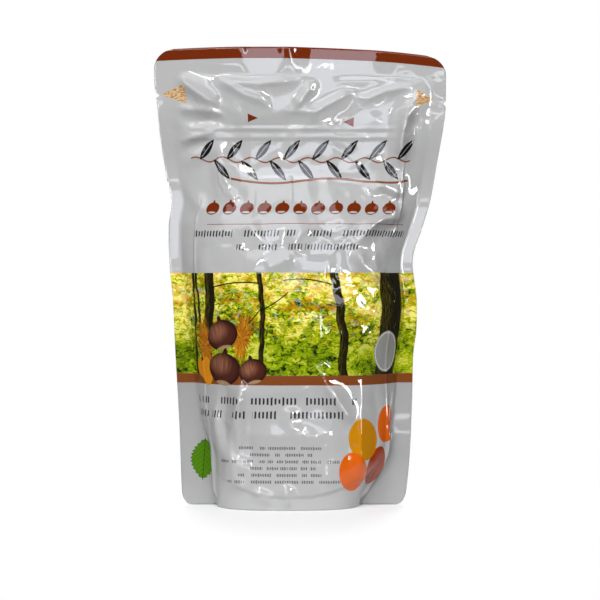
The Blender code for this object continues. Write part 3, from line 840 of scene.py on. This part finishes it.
# Print: inks on the inside of a clear glossy face film, over a pearl grey ground. A brown band
# and stripe run round the pouch, with a woodland between them, nuts and husks in front of it,
# and plain ornaments and ticks. Lengths are millimetres across (u) and up (v) the flat film.
EDGE = 0.18                 # an ink's edge fades over this width
# The painted_shade ink is not print: it is painted shading that darkens the flat wings at the foot.
INKS = {
    "grey": (159, 159, 158), "painted_shade": (145, 145, 144), "brown": (98, 34, 4), "stripe": (112, 60, 26),
    "rule": (132, 84, 70), "black": (16, 14, 14), "dark": (44, 42, 42), "kraft": (198, 172, 134),
    "kraft_dark": (146, 98, 48), "ochre": (174, 114, 3), "orange": (190, 83, 6), "russet": (136, 46, 6),
    "badge": (140, 140, 135), "leaf": (68, 110, 10), "leaf_dark": (36, 72, 6), "gold": (196, 126, 20),
    "gold_dark": (116, 62, 8), "nut": (66, 30, 20), "nut_light": (132, 86, 64),
    "nut_dark": (26, 12, 10), "nut_base": (150, 124, 92), "bark": (11, 10, 2),
    "bark_light": (70, 62, 14), "cream": (214, 212, 204), "sky": (150, 178, 176),
    "moss": (116, 142, 6),
}
# Woodland colours from its darkest to its lightest, by share
WOODLAND = (
    (0.00, (8, 16, 1)), (0.20, (38, 56, 2)), (0.40, (88, 110, 3)), (0.58, (126, 146, 6)),
    (0.76, (164, 170, 18)), (0.90, (204, 194, 52)), (1.00, (224, 214, 112)),
)
WOOD_LOW, WOOD_HIGH = 82.3, 145.2
WOOD_MIDDLE = 113.0
STRIPE_LOW = 76.4
TOP_BAND = 279.0


def linear(values):
    """A printed colour, 0 to 255 as seen, in the linear numbers that shaders use."""
    shares = [value / 255 for value in values]
    return (*((s / 12.92 if s <= 0.04045 else ((s + 0.055) / 1.055) ** 2.4) for s in shares), 1.0)


class Plate:
    """Draws with the nodes of one shader tree. A shape is given by its depth: how many
    millimetres a place lies inside its edge. Each ink goes over what is printed already."""

    def __init__(self, tree, u, v):
        self.tree, self.u, self.v = tree, u, v
        self.colour = linear(INKS["grey"])

    def put(self, socket, term):
        """Joins an input to another socket, or gives it a plain value."""
        if isinstance(term, bpy.types.NodeSocket):
            self.tree.links.new(term, socket)
        else:
            socket.default_value = term

    def calc(self, operation, *terms):
        """One sum: a Math node on sockets or numbers."""
        node = self.tree.nodes.new("ShaderNodeMath")
        node.operation = operation
        for socket, term in zip(node.inputs, terms):
            self.put(socket, term)
        return node.outputs[0]

    def less(self, a, b):
        return self.calc("SUBTRACT", a, b)

    def times(self, a, b):
        return self.calc("MULTIPLY", a, b)

    def size(self, a):
        return self.calc("ABSOLUTE", a)

    def least(self, *depths):
        """The smallest of several depths: where all the shapes overlap."""
        found = depths[0]
        for depth in depths[1:]:
            found = self.calc("MINIMUM", found, depth)
        return found

    def mask(self, depth, fade=EDGE):
        """From 0 outside a shape to 1 inside it, over the width of the fade."""
        node = self.tree.nodes.new("ShaderNodeMath")
        node.operation, node.use_clamp = "MULTIPLY_ADD", True
        for socket, term in zip(node.inputs, (depth, 1.0 / fade, 0.5)):
            self.put(socket, term)
        return node.outputs[0]

    def grain(self, x, y, detail=2.0, wobble=0.0):
        """Smooth noise from 0 to 1 at a place whose unit is one grain."""
        place = self.tree.nodes.new("ShaderNodeCombineXYZ")
        self.put(place.inputs["X"], x)
        self.put(place.inputs["Y"], y)
        node = self.tree.nodes.new("ShaderNodeTexNoise")
        node.noise_dimensions = "2D"
        self.put(node.inputs["Vector"], place.outputs[0])
        for name, value in (("Scale", 1.0), ("Detail", detail), ("Distortion", wobble)):
            node.inputs[name].default_value = value
        return node.outputs["Fac"]

    def noise(self, across, high, shift, detail=2.0, wobble=0.0):
        """Noise over the film, with grains of this width and height."""
        x = self.calc("MULTIPLY_ADD", self.u, 1 / across, shift)
        return self.grain(x, self.times(self.v, 1 / high), detail, wobble)

    def over(self, ink, mask):
        """Prints an ink, by name or socket, where the mask is 1."""
        node = self.tree.nodes.new("ShaderNodeMix")
        node.data_type = "RGBA"
        self.put(node.inputs["Factor"], mask)
        self.put(node.inputs["A"], self.colour)
        self.put(node.inputs["B"], linear(INKS[ink]) if isinstance(ink, str) else ink)
        self.colour = node.outputs["Result"]

    def turned(self, at_u, at_v, turn):
        """A place measured from (at_u, at_v), along and across an axis turned by this angle."""
        du, dv = self.less(self.u, at_u), self.less(self.v, at_v)
        angle = self.calc("RADIANS", turn)
        c, s = self.calc("COSINE", angle), self.calc("SINE", angle)
        along_it = self.calc("MULTIPLY_ADD", du, c, self.times(dv, s))
        return along_it, self.less(self.times(dv, c), self.times(du, s))

    def cut(self, motif, *values):
        """Colour and depth of a motif at these values."""
        node = self.tree.nodes.new("ShaderNodeGroup")
        node.node_tree = motif
        for socket, term in zip(node.inputs, (self.u, self.v, *values)):
            self.put(socket, term)
        return node.outputs["colour"], node.outputs["depth"]

    def stamp(self, motif, *values, ink=None, fade=EDGE):
        """Prints a motif in its own colours, or in one ink."""
        colour, depth = self.cut(motif, *values)
        self.over(ink or colour, self.mask(depth, fade))


def motif(draw):
    """Makes a node group of a drawing function, once, for all plates. Its inputs are u, v and
    the function's values, and its outputs the colours drawn and the depth returned."""
    group = bpy.data.node_groups.new(draw.__name__, "ShaderNodeTree")
    names = ("u", "v", *list(inspect.signature(draw).parameters)[1:])
    for name in names:
        group.interface.new_socket(name, in_out="INPUT", socket_type="NodeSocketFloat")
    group.interface.new_socket("colour", in_out="OUTPUT", socket_type="NodeSocketColor")
    group.interface.new_socket("depth", in_out="OUTPUT", socket_type="NodeSocketFloat")
    start, end = group.nodes.new("NodeGroupInput"), group.nodes.new("NodeGroupOutput")
    u, v, *values = start.outputs[:len(names)]
    plate = Plate(group, u, v)
    depth = draw(plate, *values)
    plate.put(end.inputs["colour"], plate.colour)
    plate.put(end.inputs["depth"], depth)
    return group


def spot(plate, a, b, at_a, at_b, half_a, half_b):
    """Depth inside an ellipse: 1 less the distance in half sizes, times the smaller one."""
    a = plate.calc("MULTIPLY_ADD", a, 1 / half_a, -at_a / half_a)
    b = plate.calc("MULTIPLY_ADD", b, 1 / half_b, -at_b / half_b)
    r = plate.calc("SQRT", plate.calc("MULTIPLY_ADD", a, a, plate.times(b, b)))
    return plate.times(plate.less(1.0, r), min(half_a, half_b))


def blade(plate, a, b, reach, half):
    """Depth inside a leaf along a: half (1 - (a / reach)^2) less |b|."""
    share = plate.calc("DIVIDE", a, reach)
    wide = plate.times(plate.less(1.0, plate.times(share, share)), half)
    return plate.less(wide, plate.size(b))


@motif
def oval(plate, at_u, at_v, wide, high, turn):
    """An ellipse of these half sizes."""
    a, b = plate.turned(at_u, at_v, turn)
    a, b = plate.calc("DIVIDE", a, wide), plate.calc("DIVIDE", b, high)
    r = plate.calc("SQRT", plate.calc("MULTIPLY_ADD", a, a, plate.times(b, b)))
    return plate.times(plate.less(1.0, r), plate.calc("MINIMUM", wide, high))


@motif
def bar(plate, left, right, low, high):
    """An upright box: the least of the distances to its four sides."""
    return plate.least(
        plate.less(plate.u, left), plate.less(right, plate.u),
        plate.less(plate.v, low), plate.less(high, plate.v),
    )


@motif
def wings(plate):
    """The flat wings on both sides of the foot, narrower upwards. The ground there is printed darker as
    painted shading, for the dimmer light that the wings get beside the body."""
    edge = plate.calc("MULTIPLY_ADD", plate.v, 0.15, 67.0)
    return plate.least(plate.less(plate.size(plate.u), edge), plate.less(STRIPE_LOW + 2, plate.v))


@motif
def flag(plate, tip_u, tip_v, base_u, half):
    """A triangle that lies on its side, from its tip to an upright base."""
    run = plate.less(base_u, tip_u)
    share = plate.calc("DIVIDE", plate.less(plate.u, tip_u), run)
    slope = plate.less(plate.times(share, half), plate.size(plate.less(plate.v, tip_v)))
    return plate.least(slope, plate.times(plate.less(1.0, share), plate.size(run)))


@motif
def words(plate, left, right, at_v, half, shift):
    """A line of fine upright ticks of uneven height, in groups where 1D noise is above 0.4."""
    place = plate.calc("DIVIDE", plate.u, half)
    noises = []
    for pitch in (0.16, 0.9):
        node = plate.tree.nodes.new("ShaderNodeTexNoise")
        node.noise_dimensions = "1D"
        plate.put(node.inputs["W"], plate.calc("MULTIPLY_ADD", place, pitch, shift))
        node.inputs["Scale"].default_value = 1.0
        node.inputs["Detail"].default_value = 0.0
        noises.append(node.outputs["Fac"])
    groups = plate.times(plate.less(noises[0], 0.40), plate.times(half, 6.0))
    ticks = plate.times(plate.less(0.30, plate.calc("PINGPONG", place, 0.62)), half)
    tall = plate.times(plate.calc("MULTIPLY_ADD", noises[1], 0.9, 0.55), half)
    tall = plate.less(tall, plate.size(plate.less(plate.v, at_v)))
    return plate.least(groups, ticks, tall, plate.less(plate.u, left), plate.less(right, plate.u))


@motif
def stem(plate, left, right, at_v, pitch, half):
    """A waving line: it swings half a leaf's reach up and down over each pitch."""
    wave = plate.calc("SINE", plate.calc("DIVIDE", plate.times(plate.u, math.pi), pitch))
    off = plate.less(plate.less(plate.v, at_v), plate.times(wave, 1.5))
    line = plate.less(half, plate.size(off))
    return plate.least(line, plate.less(plate.u, left), plate.less(right, plate.u))


@motif
def sprig_leaf(plate, at_u, at_v, reach, half, turn):
    """A plain black leaf with a thin open rib."""
    a, b = plate.turned(at_u, at_v, turn)
    depth = blade(plate, a, b, reach, half)
    plate.colour = linear(INKS["black"])
    rib_half, rib_reach = plate.less(0.16, plate.size(b)), plate.times(reach, 0.7)
    plate.over("grey", plate.mask(plate.least(rib_half, plate.less(rib_reach, plate.size(a)))))
    return depth


@motif
def tree_leaf(plate, at_u, at_v, reach, half, turn):
    """A green toothed leaf with a midrib and slanting side veins."""
    a, b = plate.turned(at_u, at_v, turn)
    smooth = blade(plate, a, b, reach, half)
    notch = plate.calc("PINGPONG", plate.times(a, 0.9), 1.0)
    depth = plate.less(smooth, plate.times(notch, plate.times(half, 0.16)))
    plate.colour = linear(INKS["leaf"])
    slant = plate.calc("ADD", plate.size(b), a)
    veins = plate.less(0.16, plate.calc("PINGPONG", slant, 1.5))
    veins = plate.calc("MAXIMUM", veins, plate.less(0.24, plate.size(b)))
    plate.over("leaf_dark", plate.mask(veins))
    plate.over("leaf_dark", plate.times(plate.mask(plate.less(0.7, depth), 1.6), 0.6))
    return depth


@motif
def husk(plate, at_u, at_v, wide, high, turn):
    """Half a bristly husk: an ellipse whose edge noise frays, with bristles that point out."""
    a, b = plate.turned(at_u, at_v, turn)
    share_a, share_b = plate.calc("DIVIDE", a, wide), plate.calc("DIVIDE", b, high)
    r = plate.calc("SQRT", plate.calc("MULTIPLY_ADD", share_a, share_a, plate.times(share_b, share_b)))
    smooth = plate.times(plate.less(1.0, r), plate.calc("MINIMUM", wide, high))
    angle = plate.calc("ARCTAN2", share_b, share_a)
    bristles = plate.grain(plate.times(angle, 8.0), plate.times(r, 1.4), 3.0, 0.8)
    plate.colour = linear(INKS["gold"])
    plate.over("gold_dark", plate.mask(plate.less(bristles, 0.52), 0.16))
    plate.over("nut", plate.times(plate.mask(plate.less(0.40, bristles), 0.12), 0.7))
    return plate.calc("MULTIPLY_ADD", plate.less(bristles, 0.5), 14.0, smooth)


@motif
def nut(plate, at_u, at_v, size, turn):
    """A glossy chestnut: a broad oval with a short tip, a paler base and a soft shine."""
    a, b = (plate.calc("DIVIDE", part, size) for part in plate.turned(at_u, at_v, turn))
    body = spot(plate, a, b, 0, 0, 1.0, 0.84)
    body = plate.calc("MAXIMUM", body, spot(plate, a, b, 0, 0.8, 0.14, 0.3))
    plate.colour = linear(INKS["nut_dark"])
    plate.over("nut", plate.mask(plate.less(body, 0.14), 0.34))
    streaks = plate.grain(plate.times(a, 9.0), plate.calc("ADD", b, at_u))
    shine = plate.mask(spot(plate, a, b, -0.26, 0.22, 0.5, 0.4), 0.5)
    plate.over("nut_light", plate.times(shine, plate.times(streaks, 1.5)))
    base = plate.mask(plate.least(body, spot(plate, a, b, 0, -0.84, 0.55, 0.24)), 0.05)
    speckle = plate.grain(plate.times(a, 14.0), plate.times(b, 14.0))
    plate.over("nut_base", plate.times(base, plate.calc("MULTIPLY_ADD", speckle, 0.8, 0.45)))
    return plate.times(body, size)


@motif
def small_nut(plate, at_u, at_v, size):
    """The outline of a chestnut with an open base, in one ink."""
    a = plate.calc("DIVIDE", plate.less(plate.u, at_u), size)
    b = plate.calc("DIVIDE", plate.less(plate.v, at_v), size)
    body = spot(plate, a, b, 0, 0, 1, 0.86)
    body = plate.calc("MAXIMUM", body, spot(plate, a, b, 0, 0.85, 0.16, 0.32))
    open_base = spot(plate, a, b, 0, -0.55, 0.56, 0.14)
    return plate.times(plate.least(body, plate.times(open_base, -1.0)), size)


@motif
def trunk(plate, at_u, lean, half):
    """A tree trunk that leans and wavers, dark with streaks of lit bark."""
    middle = plate.calc("MULTIPLY_ADD", plate.less(plate.v, WOOD_MIDDLE), lean, at_u)
    waver = plate.grain(plate.times(plate.v, 1 / 16), at_u, 1.0)
    middle = plate.calc("MULTIPLY_ADD", plate.less(waver, 0.5), 5.0, middle)
    off = plate.less(plate.u, middle)
    depth = plate.less(half, plate.size(off))
    plate.colour = linear(INKS["bark"])
    bark = plate.mask(plate.less(plate.noise(0.9, 6.0, 2.0, 3.0), 0.5), 0.3)
    lit = plate.mask(plate.calc("MULTIPLY_ADD", off, -1.0, plate.times(half, -0.1)), 2.5)
    plate.over("bark_light", plate.times(bark, plate.calc("MULTIPLY_ADD", lit, 0.7, 0.2)))
    return depth


@motif
def branch(plate, left, right, at_v, rise, bend, half):
    """A thin limb along a parabola between two places."""
    middle = plate.times(plate.calc("ADD", left, right), 0.5)
    du = plate.less(plate.u, middle)
    curve = plate.calc("MULTIPLY_ADD", plate.times(du, du), bend, at_v)
    curve = plate.calc("MULTIPLY_ADD", du, rise, curve)
    limb = plate.less(half, plate.size(plate.less(plate.v, curve)))
    return plate.least(limb, plate.less(plate.u, left), plate.less(right, plate.u))


@motif
def foliage(plate):
    """Backlit leaves: noise of three sizes picks the colour, lighter at the top, mossy below."""
    big = plate.noise(24.0, 13.0, 3.1, 3.0, 0.6)
    middling = plate.noise(3.4, 2.4, 7.7, 4.0, 0.8)
    fine = plate.noise(1.5, 0.9, 1.3, 1.0)
    light = plate.calc("MULTIPLY_ADD", big, 2.0, plate.calc("MULTIPLY_ADD", middling, 1.8, -1.56))
    light = plate.calc("MULTIPLY_ADD", fine, 0.6, light)
    light = plate.calc("MULTIPLY_ADD", plate.less(plate.v, WOOD_MIDDLE), 0.0065, light)
    ramp = plate.tree.nodes.new("ShaderNodeValToRGB")
    while len(ramp.color_ramp.elements) < len(WOODLAND):
        ramp.color_ramp.elements.new(0.5)
    for element, (share, colour) in zip(ramp.color_ramp.elements, WOODLAND):
        element.position, element.color = share, linear(colour)
    plate.put(ramp.inputs[0], light)
    plate.colour = ramp.outputs["Color"]
    autumn = plate.mask(plate.less(plate.noise(7.0, 4.2, 5.0, 3.0, 1.0), 0.55), 0.12)
    upper = plate.mask(plate.less(plate.v, 112.0), 26.0)
    plate.over("gold", plate.times(plate.times(autumn, upper), 0.55))
    gaps = plate.mask(plate.less(plate.noise(5.0, 3.4, 9.0, 4.0, 1.2), 0.64), 0.05)
    plate.over("sky", plate.times(plate.times(gaps, upper), 0.45))
    lower = plate.mask(plate.less(108.0, plate.v), 20.0)
    moss = plate.times(lower, plate.mask(plate.less(middling, 0.45), 0.3))
    plate.over("moss", plate.times(moss, 0.55))
    return 1.0


def woodland(plate, trunks, branches):
    """Foliage with trunks and limbs in front, cut off level, over the brown stripe."""
    ground = plate.colour
    plate.colour = plate.cut(foliage)[0]
    for values in trunks:
        plate.stamp(trunk, *values, fade=0.5)
    for values in branches:
        plate.stamp(branch, *values, ink="bark", fade=0.3)
    picture, plate.colour = plate.colour, ground
    for ink, low, high in ((picture, WOOD_LOW, WOOD_HIGH), ("stripe", STRIPE_LOW, WOOD_LOW)):
        plate.stamp(bar, -110.0, 110.0, low, high, ink=ink)


def tear_marks(plate):
    """Kraft coloured wedges at the tear notches, small arrows beside the zip, and the band."""
    fibre = plate.mask(plate.less(plate.noise(2.2, 0.8, 0.0, 3.0), 0.52), 0.3)
    for values in ((-87.0, 257.2, -71.5, 6.1), (83.0, 255.3, 71.4, 6.3)):
        depth = plate.cut(flag, *values)[1]
        plate.over("kraft", plate.mask(depth))
        plate.over("kraft_dark", plate.times(plate.mask(depth), fibre))
    plate.stamp(flag, -27.3, 241.9, -33.6, 2.7, ink="brown")
    plate.stamp(flag, 26.2, 239.6, 32.7, 3.1, ink="brown")
    plate.stamp(bar, -110.0, 110.0, TOP_BAND, 300.0, ink="brown")


# The film is creased finely where it crumples most: place, half sizes, share of the full relief
CRUMPLED = (
    (48.0, 172.0, 20.0, 34.0, 0.8), (68.0, 232.0, 10.0, 28.0, 0.7), (-64.0, 238.0, 16.0, 24.0, 0.7),
    (-44.0, 176.0, 16.0, 26.0, 0.4), (4.0, 180.0, 34.0, 18.0, 0.2), (-44.0, 60.0, 12.0, 26.0, 0.6),
    (26.0, 70.0, 14.0, 26.0, 0.3), (56.0, 120.0, 16.0, 30.0, 0.35),
)
CALM = 0.04
CREASE_CELLS = ((17.0, 1.2), (7.0, 0.30))
PEEL = 0.012
COAT_ROUGHNESS = 0.025


@motif
def crinkle(plate):
    """Fine creases in millimetres: cones around scattered points, of two sizes, meet in
    sharp borders, on places shifted by noise. CRUMPLED says where, and the rest is calm."""
    height = plate.times(plate.noise(6.0, 8.0, 4.0), 8 * PEEL)
    for cell, share in CREASE_CELLS:
        place = plate.tree.nodes.new("ShaderNodeCombineXYZ")
        for axis, spot_at, shift in (("X", plate.u, 0.3), ("Y", plate.v, 8.6)):
            bent = plate.noise(cell * 1.4, cell * 1.1, shift, 1.0)
            bent = plate.calc("MULTIPLY_ADD", bent, 1.1, plate.times(spot_at, 1 / cell))
            plate.put(place.inputs[axis], bent)
        node = plate.tree.nodes.new("ShaderNodeTexVoronoi")
        node.voronoi_dimensions = "2D"
        plate.put(node.inputs["Vector"], place.outputs[0])
        node.inputs["Scale"].default_value = 1.0
        height = plate.calc("MULTIPLY_ADD", node.outputs["Distance"], share, height)
    where = CALM
    for at_u, at_v, wide, high, share in CRUMPLED:
        patch = plate.mask(plate.cut(oval, at_u, at_v, wide, high, 0.0)[1], 18.0)
        where = plate.calc("MAXIMUM", where, plate.times(patch, share))
    return plate.times(height, where)


def blank(name, start):
    """A film material, and a plate for the panel that starts there on the map."""
    film = bpy.data.materials.new(name)
    film.use_nodes = True
    plan = film.node_tree.nodes.new("ShaderNodeUVMap")
    plan.uv_map = "film"
    parts = film.node_tree.nodes.new("ShaderNodeSeparateXYZ")
    film.node_tree.links.new(plan.outputs["UV"], parts.inputs[0])
    plate = Plate(film.node_tree, 0.0, 0.0)
    plate.u = plate.calc("MULTIPLY_ADD", parts.outputs["X"], ATLAS * 1000, -100 - start * ATLAS * 1000)
    plate.v = plate.times(parts.outputs["Y"], ATLAS * 1000)
    return film, plate


def glossed(film, plate):
    """Lays the print under the clear glossy face film, with its fine creases."""
    shader = film.node_tree.nodes["Principled BSDF"]
    plate.put(shader.inputs["Base Color"], plate.colour)
    uneven = plate.calc("MULTIPLY_ADD", plate.noise(9.0, 9.0, 0.0), 0.2, 0.25)
    plate.put(shader.inputs["Roughness"], uneven)
    shader.inputs["Specular IOR Level"].default_value = 0.0
    shader.inputs["Coat Weight"].default_value = 1.0
    shader.inputs["Coat Roughness"].default_value = COAT_ROUGHNESS
    bump = film.node_tree.nodes.new("ShaderNodeBump")
    bump.inputs["Strength"].default_value = 1.0
    bump.inputs["Distance"].default_value = 0.001
    plate.put(bump.inputs["Height"], plate.cut(crinkle)[1])
    plate.put(shader.inputs["Normal"], bump.outputs[0])
    plate.put(shader.inputs["Coat Normal"], bump.outputs[0])
    return film


front_print, plate = blank("front_print", 0.0)
# Painted shading: the flat wings get a darker grey for the light they miss beside the body.
plate.stamp(wings, ink="painted_shade", fade=2.5)
woodland(
    plate,
    ((-72.0, 0.03, 1.3), (-67.0, -0.02, 0.9), (-59.0, 0.07, 3.7), (-22.0, 0.01, 1.7),
     (30.0, -0.07, 2.9), (67.5, 0.08, 10.0)),
    ((-56.0, -22.0, 139.0, 0.08, -0.006, 0.4), (-6.0, 29.0, 141.0, -0.10, -0.008, 0.4),
     (-36.0, -22.0, 116.0, 1.1, 0.0, 0.5), (-22.0, -4.0, 127.0, 0.6, 0.01, 0.4)),
)
plate.stamp(husk, -62.6, 100.5, 6.0, 14.5, 12.0)
plate.stamp(husk, -35.0, 105.0, 5.6, 13.0, -8.0)
plate.stamp(nut, -49.0, 107.0, 11.0, 14.0)
for at_u, at_v, wide, high, turn in ((-68.6, 86.4, 4.0, 6.0, 10.0), (-62.0, 84.6, 5.0, 9.0, 2.0)):
    plate.stamp(oval, at_u, at_v, wide, high, turn, ink="gold")
plate.stamp(nut, -47.6, 86.0, 12.0, -8.0)
plate.stamp(nut, -27.4, 84.8, 9.2, 12.0)
for ink, wide, high in (("badge", 11.2, 12.7), ("cream", 10.4, 11.9), ("badge", 10.0, 11.5)):
    plate.stamp(oval, 65.0, 96.6, wide, high, 0.0, ink=ink)

GARLAND = 216.0
LEAF_PITCH = 9.2
plate.stamp(stem, -72.0, 72.0, GARLAND, LEAF_PITCH, 0.45, ink="stripe")
for step in range(-7, 8):
    sign = 1 if step % 2 else -1
    plate.stamp(sprig_leaf, step * LEAF_PITCH + 3.4, GARLAND + sign * 6.2, 8.2, 2.4, 50.0 * sign)
plate.stamp(stem, -46.0, 72.0, 203.2, 38.0, 0.7, ink="stripe")
for step in range(-5, 6):
    plate.stamp(small_nut, step * 11.8, 185.2, 4.6, ink="brown")
plate.stamp(bar, -60.0, 75.0, 174.9, 175.4, ink="rule")
for left, right, at_v, half, shift in (
    (-70.0, 78.0, 169.4, 1.75, 3.0), (-37.0, 44.0, 161.0, 1.75, 17.0),
    (-76.0, 40.0, 66.6, 2.0, 31.0), (-76.0, 30.0, 58.2, 2.0, 44.0),
):
    plate.stamp(words, left, right, at_v, half, shift, ink="dark")
for row, reach in enumerate((26.0, 20.0, 40.0, 22.0, 26.0, 38.0)):
    plate.stamp(words, -9.0 - reach, -9.0 + reach, 38.0 - 4.1 * row, 0.85, 60.0 + 9.0 * row, ink="dark")
for ink, at_u, at_v, wide, high, turn in (
    ("orange", 64.5, 52.0, 9.0, 11.6, -24.0), ("russet", 55.0, 26.5, 8.2, 12.6, -20.0),
    ("ochre", 43.8, 43.4, 10.2, 12.8, 8.0), ("orange", 37.0, 23.4, 9.4, 12.2, 6.0),
):
    plate.stamp(oval, at_u, at_v, wide, high, turn, ink=ink)
plate.stamp(tree_leaf, -75.5, 28.6, 13.5, 8.6, 84.0)
tear_marks(plate)
front_print = glossed(front_print, plate)

back_print, plate = blank("back_print", 0.5)
# Painted shading: the flat wings get a darker grey for the light they miss beside the body.
plate.stamp(wings, ink="painted_shade", fade=2.5)
woodland(
    plate,
    ((-70.0, 0.03, 2.4), (-34.0, -0.04, 4.0), (2.0, 0.05, 1.4), (31.0, 0.02, 2.2), (64.0, -0.05, 4.4)),
    ((-28.0, 6.0, 134.0, 0.16, 0.005, 0.40), (30.0, 60.0, 138.0, -0.12, -0.004, 0.35)),
)
plate.stamp(bar, -62.0, 62.0, 152.0, 226.0, ink="cream")
TABLE_ROWS = [158.0 + 7.4 * row for row in range(9)]
for low in TABLE_ROWS:
    plate.stamp(bar, -56.0, 56.0, low, low + 0.4, ink="stripe")
for row, low in enumerate(TABLE_ROWS[:-1]):
    for left, right, shift in ((-54.0, -12.0, 90.0), (18.0, 54.0, 190.0)):
        plate.stamp(words, left, right, low + 3.6, 0.9, shift + 7.0 * row, ink="dark")
for row in range(7):
    plate.stamp(words, -58.0, 22.0, 66.0 - 4.6 * row, 0.8, 300.0 + 9.0 * row, ink="dark")
plate.stamp(tree_leaf, 46.0, 52.0, 13.0, 5.6, 62.0)
plate.stamp(nut, 44.0, 26.0, 8.0, -8.0)
tear_marks(plate)
back_print = glossed(back_print, plate)

gusset_film = glossed(*blank("gusset_film", 0.0))

for made in (front_print, back_print, gusset_film):
    film_mesh.materials.append(made)
film_mesh.polygons.foreach_set("material_index", kinds)

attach(pouch_film, "root")
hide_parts("pouch")


# Sizes of the solid and of the dressed model, to compare
low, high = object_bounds()
sizes = {"cad": [list(cad_low), list(cad_high)], "visual": [list(low), list(high)]}
